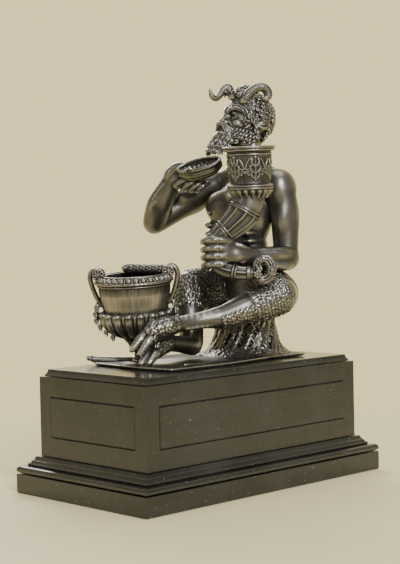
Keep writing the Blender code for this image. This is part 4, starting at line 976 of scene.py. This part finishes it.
def satyr_body(finish):
    """Trunk, arms, hands and shell."""
    random = Draws(5)
    clay = Clay((-18, -60, 24), (92, 78, 180), FIGURE_STEP)
    torso(clay)
    left_arm(clay)
    right_arm(clay)
    left_hand(clay)
    right_hand(clay)
    shell(clay, random)
    cut_grip(clay)
    return finished_mesh("satyr_body_cast", clay, FIGURE_TRIANGLES, STAND, finish, "satyr")


def satyr_legs(finish):
    """Haunches and legs with their fur, the mound and the ground plate."""
    random = Draws(8)
    low, high = (-80, -72, -3), (92, 60, 82)
    clay = Clay(low, high, LEGS_STEP)
    clay.add(egg((54, 0, 50), (22, 26, 21)))
    ground(clay, random)
    right_leg(clay, random)
    left_leg(clay, random)
    cut_grip(clay)
    clay.cut((low, (high[0], high[1], 0), lambda p: p[2] + 0 * (p[0] + p[1])))
    return finished_mesh("satyr_legs_cast", clay, LEGS_TRIANGLES, STAND, finish, "satyr")


def satyr_head(finish):
    """The head is modelled apart on a finer grid; its neck goes down inside the body's."""
    random = Draws(11)
    clay = Clay((18, -30, 142), (92, 36, 224), HEAD_STEP)
    head(clay)
    hair(clay, random)
    beard(clay, random)
    horns(clay)
    cut_grip(clay)
    return finished_mesh("satyr_head_cast", clay, HEAD_TRIANGLES, STAND, finish, "satyr")


class Draws:
    """Seeded draws, the same each run."""

    def __init__(self, seed):
        self.source = np.random.default_rng(seed)

    def uniform(self, low, high):
        return float(self.source.uniform(low, high))

    def random(self):
        return float(self.source.random())


# Cornucopia


SOCKET_TOP = (18.6, -37.4, 164.5)
SOCKET_FOOT = (20.6, -36.4, 129.0)
SOCKET_HEIGHT = 35.5
SOCKET_RADIUS = 16.6
BORE_RADIUS = 11.0
BORE_DEPTH = 26.0
HORN_ROUTE = [(20.4, -36.5, 131), (18.5, -35.5, 121), (14.5, -32.2, 111.5), (7.5, -26.5, 103)]
HORN_ROUTE += [(0.6, -20.5, 95), (-2.2, -18.8, 85), (-1.0, -24.5, 73), (5.5, -33.5, 69), (13, -41.5, 68)]
HORN_RADII = [11.5, 11.8, 11.2, 9.2, 7.4, 6.0, 5.6, 5.2, 4.6]
COIL_CENTRE = (20.5, -48.5, 71.5)
COIL_ACROSS = np.array([0.72, -0.69, 0])
COIL_WIDE = 6.8
COIL_TALL = 8.8


def coil_route():
    """The tail rolls up in an upright plane that faces forward and to the figure's left."""
    places, radii = [], []
    for i in range(22):
        angle = radians(215 + 17 * i)
        shrink = 1 - 0.015 * i
        aside = COIL_ACROSS * COIL_WIDE * shrink * cos(angle)
        places.append(COIL_CENTRE + aside + (0, 0, COIL_TALL * shrink * sin(angle)))
        radii.append(3.7 - 0.05 * i)
    return places, radii


def horn_strokes(extra=0.0):
    """The horn without its socket, as limbs that are thicker by a little extra."""
    route = tapered(HORN_ROUTE, HORN_RADII, 60)
    strokes = [limb(a[:3], b[:3], a[3] + extra, b[3] + extra) for a, b in zip(route, route[1:])]
    places, radii = coil_route()
    strokes += [limb(a, b, r + extra, r + extra) for a, b, r in zip(places, places[1:], radii)]
    return strokes


def cut_grip(clay):
    """The figure keeps clear of the horn, of the socket that rests against it, and of the urn."""
    for stroke in horn_strokes(HORN_RELIEF_ROOM):
        clay.cut(stroke)
    clay.cut(leaning(turned(socket_outline()), lean_matrix(SOCKET_FOOT, SOCKET_TOP), CLEARANCE))
    clay.cut(leaning(turned(urn_outline()), urn_matrix(), CLEARANCE + URN_RELIEF_ROOM))


def socket_outline():
    """Outer side from the foot up with its rings and leaf cup, then the bore down to its floor."""
    r, top = SOCKET_RADIUS, SOCKET_HEIGHT
    outline = [(0, -2), (r * 0.72, -2), (r * 0.95, 1.5), (r * 1.07, 3.4), (r * 1.07, 6.2), (r * 0.92, 7.2)]
    outline += [(r * 0.9, 9), (r, top - 7.5), (r * 1.07, top - 6.2)]
    outline += [(r * 1.07, top - 4.6), (r * 1.02, top - 4)]
    outline += [(r * 1.23, top - 2.8), (r * 1.23, top), (BORE_RADIUS, top)]
    return outline + [(BORE_RADIUS, top - BORE_DEPTH), (0, top - BORE_DEPTH)]


def fine_socket():
    """The socket with its rings turned round, a shallow lip and a plain bore."""
    r, top = SOCKET_RADIUS, SOCKET_HEIGHT
    outline = [(0, -2), (r * 0.70, -2), (r * 0.88, 0.6), (r * 0.98, 2.6)]
    outline += round_ring(r * 1.03, 3.6, 0.75) + round_ring(r * 1.03, 5.5, 0.75)
    outline += [(r * 0.92, 7.0), (r * 0.9, 9), (r * 0.95, top - 12), (r, top - 7.6)]
    outline += round_ring(r * 1.03, top - 6.2, 0.7) + [(r * 1.0, top - 5.2), (r * 1.02, top - 4.2)]
    outline += round_ring(r * 1.14, top - 3.0, 0.85) + round_ring(r * 1.18, top - 1.0, 0.9)
    outline += [(r * 1.0, top), (BORE_RADIUS + 1.2, top), (BORE_RADIUS, top - 1.0)]
    return outline + [(BORE_RADIUS, top - BORE_DEPTH), (0, top - BORE_DEPTH)]


def round_ring(radius, height, girth):
    """A half round on a turned outline, from below to above."""
    return [(radius + girth * cos(a), height + girth * sin(a)) for a in np.linspace(-pi / 2, pi / 2, 6)]


def on_socket(matrix, around, height, rise):
    """A place on the socket's side: an angle in radians, a height up it and a rise off it."""
    share = (height - 9) / (SOCKET_HEIGHT - 16.5)
    radius = SOCKET_RADIUS * (0.9 + 0.1 * share) + rise
    return np.array(matrix @ Vector((radius * cos(around), radius * sin(around), height)))


def socket_relief(clay, matrix):
    """Six upright acanthus sprays between pairs of scrolling stems, and leaves under the rings."""
    sprays = 6
    for k in range(sprays):
        middle = tau * k / sprays
        stem = [on_socket(matrix, middle, h, 0.2) for h in (9.5, 16, 22, 27)]
        add_chain(clay, stem, [0.9, 1.0, 0.8, 0.5], 0.3, 10)
        for side in (-1, 1):
            for low, reach, rise in ((10, 0.20, 5), (14.5, 0.24, 5.5), (19.5, 0.18, 5)):
                leaf = [(middle, low), (middle + side * reach * 0.8, low + rise * 0.5)]
                leaf += [(middle + side * reach, low + rise)]
                leaf += [(middle + side * reach * 0.62, low + rise * 1.15)]
                places = [on_socket(matrix, a, h, 0.25) for a, h in leaf]
                add_chain(clay, places, [0.7, 0.95, 0.7, 0.4], 0.2, 9)
            scroll = []
            for i in range(13):
                turn = tau * 1.15 * i / 12
                reach = 0.16 * (1 - 0.055 * i)
                where = middle + side * (0.33 + reach * cos(turn) * 0.75)
                scroll.append(on_socket(matrix, where, 15.5 + 3.4 * (1 - 0.055 * i) * sin(turn), 0.15))
            add_chain(clay, scroll, [0.65] * 13, 0.15, 22)
            bends = ((0.5, 18), (0.42, 22), (0.28, 25.5), (0.14, 26))
            upper = [on_socket(matrix, middle + side * a, h, 0.15) for a, h in bends]
            add_chain(clay, upper, [0.6, 0.7, 0.6, 0.4], 0.2, 9)
        clay.add(egg(on_socket(matrix, middle, 27.2, 0), (1.3, 1.3, 1.3)), 0.3)
        clay.add(egg(on_socket(matrix, middle + tau / 12, 15.5, 0), (1.3, 1.3, 1.3)), 0.3)
    for k in range(18):
        middle = tau * (k + 0.5) / 18
        wide, narrow = SOCKET_RADIUS * 0.92, SOCKET_RADIUS * 0.75
        root = np.array(matrix @ Vector((wide * cos(middle), wide * sin(middle), 1.8)))
        tip = np.array(matrix @ Vector((narrow * cos(middle), narrow * sin(middle), -3.4)))
        clay.add(limb(root, tip, 2.2, 1.0), 0.25)


def horn_flutes(clay, first, last, ridges, lift):
    """Ridges that run along the horn between two shares of its route."""
    route = tapered(HORN_ROUTE, HORN_RADII, 90)
    pairs = frames_along(route, (0.7, -0.7, 0.1))
    start, stop = int(first * 90), int(last * 90)
    for k in range(ridges):
        angle = tau * k / ridges
        groove = angle + pi / ridges
        for i in range(start, stop):
            ends, hollows = [], []
            for j in (i, i + 1):
                place, (one, two) = route[j], pairs[j]
                out = one * cos(angle) + two * sin(angle)
                ends.append(place[:3] + out * (place[3] + lift))
                deep = one * cos(groove) + two * sin(groove)
                hollows.append(place[:3] + deep * (place[3] + 1.6))
            girth = 0.06 * route[i][3] + 0.25
            clay.cut(limb(hollows[0], hollows[1], 0.22 * route[i][3] + 0.9, 0.22 * route[i][3] + 0.9), 0.3)
            clay.add(limb(ends[0], ends[1], girth, girth), 0.25)


def horn_ring(clay, share, girth, swell):
    """A rounded collar about the horn at a share of its route."""
    route = tapered(HORN_ROUTE, HORN_RADII, 180)
    pairs = frames_along(route, (0.7, -0.7, 0.1))
    i = int(share * 180)
    add_ring(clay, route[i][:3], pairs[i], route[i][3] + swell, girth, 28)


def horn_band(clay, first, last, count):
    """Small leaves set slantwise round the horn between two shares of its route."""
    route = tapered(HORN_ROUTE, HORN_RADII, 180)
    pairs = frames_along(route, (0.7, -0.7, 0.1))
    low, high = int(first * 180), int(last * 180)
    for k in range(count):
        for tilt in (-1, 1):
            line = []
            for share in (0.1, 0.5, 0.9):
                i = int(low + (high - low) * share)
                place, (one, two) = route[i], pairs[i]
                angle = tau * (k + 0.5 + tilt * 0.36 * (share - 0.5)) / count
                line.append(place[:3] + (one * cos(angle) + two * sin(angle)) * (place[3] + 0.15))
            add_chain(clay, line, [0.45, 0.7, 0.4], 0.1, 8)


def cornucopia(finish):
    clay = Clay((-16, -68, 50), (48, -10, 170), HORN_STEP)
    for stroke in horn_strokes():
        clay.add(stroke, 0.8)
    horn_flutes(clay, 0.22, 0.42, 9, 0.1)
    horn_flutes(clay, 0.74, 0.85, 7, 0.0)
    horn_flutes(clay, 0.88, 0.98, 7, 0.2)
    horn_band(clay, 0.43, 0.50, 14)
    matrix = lean_matrix(SOCKET_FOOT, SOCKET_TOP)
    clay.add(leaning(turned(fine_socket()), matrix), 0.3)
    socket_relief(clay, matrix)
    collars = ((0.185, 0.8, 0.3), (0.21, 0.8, 0.3), (0.42, 0.8, 0.5), (0.44, 0.45, 0.2), (0.495, 0.45, 0.2))
    collars += ((0.515, 0.8, 0.5), (0.86, 0.75, 0.5), (0.88, 0.75, 0.5), (0.975, 0.7, 0.5), (0.99, 0.7, 0.5))
    for share, girth, swell in collars:
        horn_ring(clay, share, girth, swell)
    coil_detail(clay)
    bore = [(0, SOCKET_HEIGHT - BORE_DEPTH), (BORE_RADIUS, SOCKET_HEIGHT - BORE_DEPTH)]
    bore += [(BORE_RADIUS, SOCKET_HEIGHT + 3), (0, SOCKET_HEIGHT + 3)]
    clay.cut(leaning(turned(bore), matrix))
    return finished_mesh("cornucopia_bronze_cast", clay, HORN_TRIANGLES, STAND, finish,
                         "cornucopia_candle_holder")


def coil_detail(clay):
    """Ridges along the rolled tail, collars across it, and a rosette with leaves where it ends."""
    places, radii = coil_route()
    near = np.array([-0.69, -0.72, 0])
    ridges = [(0.7 * k, 0.1, 0.62) for k in range(-3, 6)]
    ridges += [(0.7 * k + 0.35, 0.25, 0.55) for k in range(-3, 5)]
    for offset, rise, girth in ridges:
        for a, b, r in zip(places[1:], places[2:], radii[1:]):
            ends = []
            for p in (a, b):
                out = p - np.array(COIL_CENTRE)
                out /= np.linalg.norm(out)
                ends.append(p + (out * cos(offset) + near * sin(offset)) * (r + rise))
            if rise > 0.2:
                clay.cut(limb(ends[0], ends[1], girth, girth), 0.1)
            else:
                clay.add(limb(ends[0], ends[1], girth, girth), 0.1)
    for i in (1, 2, 7, 8, 14, 15):
        a, b, r = np.array(places[i]), np.array(places[i + 1]), radii[i]
        clay.add(limb(a, a + (b - a) * 0.12, r + 0.75, r + 0.75), 0.2)
    middle = COIL_CENTRE - 4.6 * COIL_ACROSS + near * 3.2 + (0, 0, -4.4)
    clay.add(egg(middle, (3.3, 3.3, 3.3)), 0.5)
    for k in range(7):
        angle = tau * k / 7
        petal = middle + near * 2.2 + (COIL_ACROSS * cos(angle) + np.array([0, 0, sin(angle)])) * 2.2
        clay.add(egg(petal, (1.25, 1.25, 1.25)), 0.12)
    clay.add(egg(middle + near * 2.9, (1.1, 1.1, 1.1)), 0.1)
    for side in (-1, 1):
        leaf = [middle + near * 1.5, middle + near * 2 + COIL_ACROSS * (1.5 + side) + (0, 0, 4)]
        leaf += [middle + near * 1.2 + COIL_ACROSS * 1.5 * side + (0, 0, 7)]
        add_chain(clay, leaf, [0.8, 1.1, 0.5], 0.2, 9)


# Urn, about its own axis


URN_FOOT = (-44.0, 23.0)
URN_LEAN = (-5.5, -2.2)
URN_SPIN = radians(-44)
URN_HEIGHT = 66.5
URN_RIM = 29.4
URN_WALL = 2.2
GADROONS = 18
RIM_EGGS = 30


def urn_matrix():
    height = PLATE_TOP + SEAT_GAP / PART
    top = (URN_FOOT[0] + URN_LEAN[0], URN_FOOT[1] + URN_LEAN[1], height + URN_HEIGHT)
    return lean_matrix((*URN_FOOT, height), top, URN_SPIN)


def urn_outline():
    """Outer side from the foot up, over the rim, and down the hollow inside."""
    h, rim, wall = URN_HEIGHT, URN_RIM, URN_WALL
    outline = [(0, 0), (4.4, 0), (4.8, 1.6), (3.0, 4.0), (2.8, 6.5), (6.2, 10.5), (8.2, 15), (8.6, 17.5)]
    outline += [(15, 20.5), (21, 25.5), (24.6, 31.5), (25.6, 37.5), (24.6, 39.6), (25.2, 42), (27.0, h - 14)]
    outline += [(27.6, h - 6.5), (rim, h - 5.5), (rim, h - 4), (rim - 5, h)]
    inner = [(rim - 5 - wall, h), (27.0 - wall, h - 9), (24.6 - wall, 40)]
    inner += [(22 - wall, 31), (14.5 - wall, 23.5), (0, 21)]
    return outline + inner


def urn_rim(clay):
    """Egg and dart on the sloping rim between a lower cord and an upper bead."""
    h, rim = URN_HEIGHT, URN_RIM
    for k in range(RIM_EGGS):
        angle = tau * k / RIM_EGGS
        dart = angle + pi / RIM_EGGS
        across = Vector((cos(angle), sin(angle), 0))
        slope = Vector((-0.78 * cos(angle), -0.78 * sin(angle), 0.63))
        level = across.cross(slope)
        turn = np.array([level.normalized(), slope.normalized(), level.cross(slope).normalized()]).T
        middle = np.array(((rim - 2.4) * cos(angle), (rim - 2.4) * sin(angle), h - 1.9))
        clay.cut(egg(middle, (2.6, 2.6, 1.2), turn), 0.2)
        clay.add(egg(middle, (1.9, 2.1, 1.1), turn), 0.15)
        low = ((rim - 0.6) * cos(dart), (rim - 0.6) * sin(dart), h - 3.4)
        high = ((rim - 4.2) * cos(dart), (rim - 4.2) * sin(dart), h - 0.5)
        clay.add(limb(low, high, 0.75, 0.45), 0.15)
    cords = ((rim - 0.2, h - 4.6, 1.0), (rim - 5.0, h - 0.2, 0.9), (28.0, h - 7.0, 0.55))
    for radius, height, girth in cords:
        for k in range(96):
            a, b = tau * k / 96, tau * (k + 1) / 96
            swell = girth * (1 + 0.12 * (k % 2)) if girth > 0.8 else girth
            ends = [(radius * cos(t), radius * sin(t), height) for t in (a, b)]
            clay.add(limb(ends[0], ends[1], swell, swell), 0.15)


def urn_gadroons(clay):
    """Each gadroon has a round head and narrows down to the foot, with a ribbed groove between."""
    for k in range(GADROONS):
        angle = tau * k / GADROONS
        line = [(25.4, 36.6), (24.9, 32.5), (22.2, 27.3), (16.8, 22.4), (10.5, 19.0), (8.3, 15.5)]
        points = [(r * cos(angle), r * sin(angle), z) for r, z in line]
        add_chain(clay, points, [3.0, 2.9, 2.5, 1.8, 1.1, 0.7], 0.25, 20)
        clay.add(egg((26.3 * cos(angle), 26.3 * sin(angle), 37.6), (2.8, 2.8, 2.2)), 0.15)
        between = angle + pi / GADROONS
        line = [(28.4, 37), (27.4, 32), (23.8, 26), (18.0, 21.4), (11.4, 18.0)]
        points = [(r * cos(between), r * sin(between), z) for r, z in line]
        add_chain(clay, points, [0.9, 1.0, 0.9, 0.7, 0.5], 0.3, 14, cut=True)
        line = [(25.3, 37), (24.4, 31.8), (21.4, 26.4), (16.0, 22.0), (10.4, 18.8)]
        points = [(r * cos(between), r * sin(between), z) for r, z in line]
        add_chain(clay, points, [0.9, 0.9, 0.8, 0.6, 0.4], 0.1, 14)


def urn_foot(clay):
    for radius, height, girth in ((4.4, 0.9, 0.9), (3.0, 5.4, 0.7), (8.0, 15.8, 0.9), (6.0, 11.0, 0.6)):
        for k in range(30):
            a, b = tau * k / 30, tau * (k + 1) / 30
            ends = [(radius * cos(t), radius * sin(t), height) for t in (a, b)]
            clay.add(limb(ends[0], ends[1], girth, girth), 0.2)


def rosette(clay, centre, normal, size):
    """A round boss of eight petals inside a ring, facing along a direction."""
    normal = np.array(normal, float) / np.linalg.norm(normal)
    first = np.cross(normal, (0, 0, 1.0))
    first /= np.linalg.norm(first)
    second = np.cross(normal, first)
    add_ring(clay, centre, (first, second), size, size * 0.16, 24)
    for k in range(8):
        angle = tau * k / 8
        out = first * cos(angle) + second * sin(angle)
        clay.add(limb(centre + out * size * 0.25, centre + out * size * 0.68, size * 0.12, size * 0.2), 0.1)
    clay.add(egg(centre + normal * size * 0.1, (size * 0.2,) * 3), 0.1)


def urn_handle(clay, side):
    """A ribbed strap that rises from the body, curls in over the rim and ends in a rosetted roll."""
    h = URN_HEIGHT
    strap = [(26, h - 22), (29.5, h - 15), (32.4, h - 6), (33.2, h + 0.5), (30.8, h + 4.8), (26.5, h + 4.8)]
    strap += [(23.6, h + 1.2), (26, h - 1)]
    for offset in (-2.6, 0, 2.6):
        girth = 1.5 if offset else 1.9
        add_chain(clay, [(side * x, offset, z) for x, z in strap], [girth] * 8, 0.3, 30)
    outline = [(0, -5.4), (4.0, -5.4), (4.5, -4.9), (3.6, -3.6), (3.4, 0)]
    outline += [(3.6, 3.6), (4.5, 4.9), (4.0, 5.4), (0, 5.4)]
    roll = turned(outline)
    middle = np.array([side * 26.5, 0, h + 1.4])
    clay.add(leaning(roll, lean_matrix(middle, middle + (0, 1, 0))), 0.3)
    for end in (-1, 1):
        face = middle + (0, 5.4 * end, 0)
        clay.cut(egg(face, (3.3, 0.9, 3.3)), 0.2)
        rosette(clay, face, (0, end, 0), 4.1)
    garland = [(28.4, h - 23), (29.6, h - 28), (29.2, h - 33), (26.6, h - 38)]
    garland += [(22.4, h - 42.5), (17.4, h - 46.5), (12.6, h - 50.5)]
    for step, (x, z) in enumerate(garland):
        for spread in (-1, 0, 1):
            leaf = (side * (x + 0.9 - 0.5 * abs(spread)), spread * 3.0, z + 1.5 * abs(spread))
            tip = (side * (x + 0.6), spread * 5.0, z - 3.0)
            clay.add(limb(leaf, tip, 1.8 - 0.12 * step, 0.6), 0.15)
        clay.add(egg((side * (x + 2.0), 0, z - 0.5), (1.6, 1.6, 1.9)), 0.12)
        for spread in (-1, 1):
            clay.add(egg((side * (x + 1.5), 2.4 * spread, z - 2.2), (1.0, 1.0, 1.0)), 0.1)


def urn_roll(clay):
    """The leaf-wrapped roll laid over the rim, ending in a small knob."""
    h = URN_HEIGHT
    start, end = np.array([25, 0, h + 2.3]), np.array([-4, 16, h + 3.3])
    clay.add(limb(start, end, 3.3, 3.0), 0.5)
    run = (end - start) / np.linalg.norm(end - start)
    first = np.cross(run, (0, 0, 1.0))
    second = np.cross(run, first)
    for band in range(10):
        base = start + (end - start) * (0.12 + 0.085 * band)
        for k in range(9):
            angle = tau * (k + 0.5 * (band % 2)) / 9
            out = first * cos(angle) + second * sin(angle)
            clay.add(limb(base + out * 2.9, base + run * 3.4 + out * 3.3, 1.1, 0.35), 0.12)
    clay.add(egg(end + run * 2.2, (3.6, 3.6, 3.6)), 0.4)
    clay.add(egg(end + run * 5.6, (1.5, 1.5, 1.5)), 0.3)
    for k in range(7):
        angle = tau * k / 7
        out = first * cos(angle) + second * sin(angle)
        clay.add(limb(end + run * 0.6 + out * 3.0, end + run * 4.6 + out * 2.4, 0.7, 0.5), 0.1)
    clay.add(limb((2, 22, h - 1), (14, 21, h + 1), 2.3, 2.5), 1.2)


def urn(finish):
    clay = Clay((-40, -36, -3), (40, 36, 78), URN_STEP)
    clay.add(turned(urn_outline()))
    urn_gadroons(clay)
    urn_foot(clay)
    urn_rim(clay)
    urn_handle(clay, -1)
    urn_handle(clay, 1)
    urn_roll(clay)
    wall = URN_WALL
    hollow = [(0, 21), (14.5 - wall, 23.5), (22 - wall, 31), (24.6 - wall, 40), (27.0 - wall, URN_HEIGHT - 9)]
    hollow += [(URN_RIM - 5 - wall, URN_HEIGHT - 0.5), (0, URN_HEIGHT - 0.5)]
    clay.cut(turned(hollow))
    own = urn_matrix()
    own.translation *= PART
    return finished_mesh("urn_bronze_cast", clay, URN_TRIANGLES, STAND @ own, finish, "urn")


# Materials


class Shader:
    """Builds one node material by name of node and socket."""

    def __init__(self, name):
        self.material = bpy.data.materials.new(name)
        self.material.use_nodes = True
        self.tree = self.material.node_tree
        self.surface = self.tree.nodes["Principled BSDF"]

    def node(self, kind, **values):
        made = self.tree.nodes.new("ShaderNode" + kind)
        for key, value in values.items():
            if hasattr(made, key):
                setattr(made, key, value)
            else:
                made.inputs[key.replace("_", " ")].default_value = value
        return made

    def link(self, source, output, target, socket):
        self.tree.links.new(source.outputs[output], target.inputs[socket])

    def ramp(self, source, output, stops):
        made = self.node("ValToRGB")
        elements = made.color_ramp.elements
        while len(elements) < len(stops):
            elements.new(0.5)
        for element, (position, colour) in zip(elements, stops):
            element.position = position
            element.color = (*colour, 1) if len(colour) == 3 else colour
        self.link(source, output, made, 0)
        return made

    def mix(self, factor, factor_output, one, other, blend_type="MIX"):
        """Mixes two (node, output) colours by a factor node's output."""
        made = self.node("Mix", data_type="RGBA", blend_type=blend_type)
        self.link(factor, factor_output, made, 0)
        self.tree.links.new(one[0].outputs[one[1]], made.inputs[6])
        self.tree.links.new(other[0].outputs[other[1]], made.inputs[7])
        return made


def grey(value):
    return (value, value, value)


def bronze_material(name, tint):
    """Dark patina and painted shade in the hollows, a brown lacquer on the forms, rubbed metal on the
    heights.
    """
    shader = Shader(name)
    places = shader.node("TexCoord")
    wear_and_shade = shader.node("Attribute", attribute_name="wear_and_shade")
    cloud = shader.node("TexNoise", Scale=38.0, Detail=5.0, Roughness=0.6)
    fine = shader.node("TexNoise", Scale=420.0, Detail=4.0, Roughness=0.65)
    for noise in (cloud, fine):
        shader.link(places, "Object", noise, "Vector")
    shift = shader.node("Math", operation="MULTIPLY_ADD")
    shift.inputs[1].default_value = 0.22
    shift.inputs[2].default_value = -0.11
    shader.link(cloud, "Fac", shift, 0)
    height = shader.node("Math", operation="ADD")
    shader.link(wear_and_shade, "Fac", height, 0)
    shader.link(shift, "Value", height, 1)
    # Colour by height off the surroundings: near black in the hollows is patina plus painted shade, and the
    # palest on the ridges is rubbed metal.
    colour = shader.ramp(height, "Value", [
        (0.12, tuple(0.020 * t for t in tint)),
        (0.42, tuple(0.095 * t for t in tint)),
        (0.60, tuple(0.150 * t for t in tint)),
        (0.88, tuple(0.420 * t for t in tint)),
    ])
    shader.link(colour, "Color", shader.surface, "Base Color")
    shader.surface.inputs["Metallic"].default_value = 0.9
    rough = shader.ramp(height, "Value", [(0.15, grey(0.62)), (0.5, grey(0.36)), (0.85, grey(0.24))])
    roughness = shader.node("Math", operation="MULTIPLY_ADD")
    roughness.inputs[1].default_value = 0.16
    shader.link(fine, "Fac", roughness, 0)
    shader.link(rough, "Color", roughness, 2)
    lowered = shader.node("Math", operation="SUBTRACT")
    lowered.inputs[1].default_value = 0.06
    shader.link(roughness, "Value", lowered, 0)
    shader.link(lowered, "Value", shader.surface, "Roughness")
    bump = shader.node("Bump", Strength=0.35, Distance=0.00025)
    shader.link(fine, "Fac", bump, "Height")
    shader.link(bump, "Normal", shader.surface, "Normal")
    return shader.material


def wood_material():
    """Ebonised wood: near black, faint grain, specks and rubs that show the timber, fine scratches."""
    shader = Shader("ebonised_wood_polish")
    places = shader.node("TexCoord")
    stretch = shader.node("Mapping")
    stretch.inputs["Scale"].default_value = (14, 260, 260)
    shader.link(places, "Object", stretch, "Vector")
    grain = shader.node("TexNoise", Scale=1.0, Detail=6.0, Roughness=0.6)
    shader.link(stretch, "Vector", grain, "Vector")
    cloud = shader.node("TexNoise", Scale=26.0, Detail=6.0, Roughness=0.62)
    specks = shader.node("TexNoise", Scale=620.0, Detail=2.0, Roughness=0.5)
    for noise in (cloud, specks):
        shader.link(places, "Object", noise, "Vector")
    tones = [(0.30, (0.007, 0.008, 0.008)), (0.62, (0.014, 0.015, 0.015)), (0.80, (0.027, 0.028, 0.027))]
    base = shader.ramp(grain, "Fac", tones)
    haze = shader.ramp(cloud, "Fac", [(0.45, grey(0.0)), (0.75, grey(0.55))])
    dust = shader.node("RGB")
    dust.outputs[0].default_value = (0.036, 0.038, 0.037, 1)
    hazed = shader.mix(haze, "Color", (base, "Color"), (dust, 0))
    knocks = shader.ramp(specks, "Fac", [(0.70, grey(0.0)), (0.76, grey(0.85))])
    pale = shader.node("RGB")
    pale.outputs[0].default_value = (0.30, 0.28, 0.22, 1)
    knocked = shader.mix(knocks, "Color", (hazed, 2), (pale, 0))
    shader.link(knocked, 2, shader.surface, "Base Color")
    rough = shader.ramp(cloud, "Fac", [(0.35, grey(0.20)), (0.7, grey(0.36))])
    shader.link(rough, "Color", shader.surface, "Roughness")
    bump = shader.node("Bump", Strength=0.25, Distance=0.0002)
    shader.link(grain, "Fac", bump, "Height")
    shader.link(bump, "Normal", shader.surface, "Normal")
    shader.surface.inputs["Coat Weight"].default_value = 0.35
    shader.surface.inputs["Coat Roughness"].default_value = 0.12
    return shader.material


def floor_material():
    shader = Shader("pale_floor")
    shader.surface.inputs["Base Color"].default_value = (0.74, 0.66, 0.40, 1)
    shader.surface.inputs["Roughness"].default_value = 0.8
    return shader.material


# Stage


def make_camera():
    camera = bpy.data.objects.new("camera", bpy.data.cameras.new("camera"))
    bpy.context.scene.collection.objects.link(camera)
    camera.data.sensor_width = SENSOR_LENGTH
    camera.data.lens = FOCAL_PIXELS / FRAME_HEIGHT * SENSOR_LENGTH
    camera.data.clip_start = 0.01
    forward = Vector(CAMERA_FORWARD)
    right = forward.cross(Vector(CAMERA_UP)).normalized()
    up = right.cross(forward)
    turn = Matrix((right, up, -forward)).transposed().to_4x4()
    camera.matrix_world = Matrix.Translation(CAMERA_PLACE) @ turn
    bpy.context.scene.camera = camera


def make_floor(finish):
    """A pale table whose far edge runs across the view behind the object."""
    away = Vector((CAMERA_FORWARD[0], CAMERA_FORWARD[1], 0)).normalized()
    aside = Vector((away.y, -away.x, 0))
    corners = [aside * -1.6 - away * 1.3, aside * 1.6 - away * 1.3]
    corners += [aside * 1.6 + away * 0.36, aside * -1.6 + away * 0.36]
    mesh = bpy.data.meshes.new("floor")
    mesh.from_pydata([tuple(c) for c in corners], [], [(0, 1, 2, 3)])
    mesh.materials.append(finish)
    floor = bpy.data.objects.new("floor", mesh)
    bpy.context.scene.collection.objects.link(floor)


def softbox(name, place, aim, power, size):
    lamp = bpy.data.objects.new(name, bpy.data.lights.new(name, "AREA"))
    lamp.data.energy = power
    lamp.data.shape = "RECTANGLE"
    lamp.data.size, lamp.data.size_y = size
    lamp.location = place
    lamp.rotation_euler = (Vector(aim) - Vector(place)).to_track_quat("-Z", "Y").to_euler()
    bpy.context.scene.collection.objects.link(lamp)


def make_lights():
    middle = (0, 0, 0.19)
    softbox("key_light", (-0.55, -1.35, 0.95), middle, 26, (0.35, 0.9))
    softbox("fill_light", (-1.45, 0.25, 0.75), middle, 3.5, (0.3, 0.9))
    softbox("back_light", (0.55, 0.95, 0.85), middle, 10, (0.7, 0.4))
    softbox("top_light", (0.1, -0.1, 1.4), middle, 6, (0.8, 0.8))
    studio_room()


def studio_room():
    """A pale wall behind the object as the camera sees it, and a dimmer room behind the camera."""
    world = bpy.data.worlds.new("studio")
    world.use_nodes = True
    bpy.context.scene.world = world
    tree = world.node_tree
    heading = tree.nodes.new("ShaderNodeTexCoord")
    toward = tree.nodes.new("ShaderNodeVectorMath")
    toward.operation = "DOT_PRODUCT"
    toward.inputs[1].default_value = CAMERA_FORWARD
    shade = tree.nodes.new("ShaderNodeValToRGB")
    elements = shade.color_ramp.elements
    elements[0].position, elements[0].color = 0.0, (0.34, 0.31, 0.25, 1)
    elements[1].position, elements[1].color = 0.85, (1.28, 1.08, 0.54, 1)
    tree.links.new(heading.outputs["Generated"], toward.inputs[0])
    tree.links.new(toward.outputs["Value"], shade.inputs[0])
    tree.links.new(shade.outputs["Color"], tree.nodes["Background"].inputs[0])


# Plinth


def polish_plinth(node, finish):
    """A CAD piece of the plinth keeps its shape and takes softened edges and the polish."""
    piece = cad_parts[node]
    piece.data.materials.clear()
    piece.data.materials.append(finish)
    soft = piece.modifiers.new("soft_edges", "BEVEL")
    soft.width = EDGE_ROUND
    soft.segments = 2
    soft.limit_method = "ANGLE"
    soft.angle_limit = radians(25)


def main():
    make_camera()
    make_floor(floor_material())
    make_lights()
    polish = wood_material()
    for node in ("plinth_foot", "plinth_moulding", "plinth_die", "plinth_cap"):
        polish_plinth(node, polish)
    figure_bronze = bronze_material("satyr_dark_bronze", (1.0, 0.97, 0.88))
    satyr_body(figure_bronze)
    satyr_head(figure_bronze)
    satyr_legs(figure_bronze)
    cornucopia(bronze_material("cornucopia_dark_bronze", (1.0, 0.97, 0.89)))
    urn(bronze_material("urn_dark_bronze", (1.0, 0.96, 0.87)))


main()
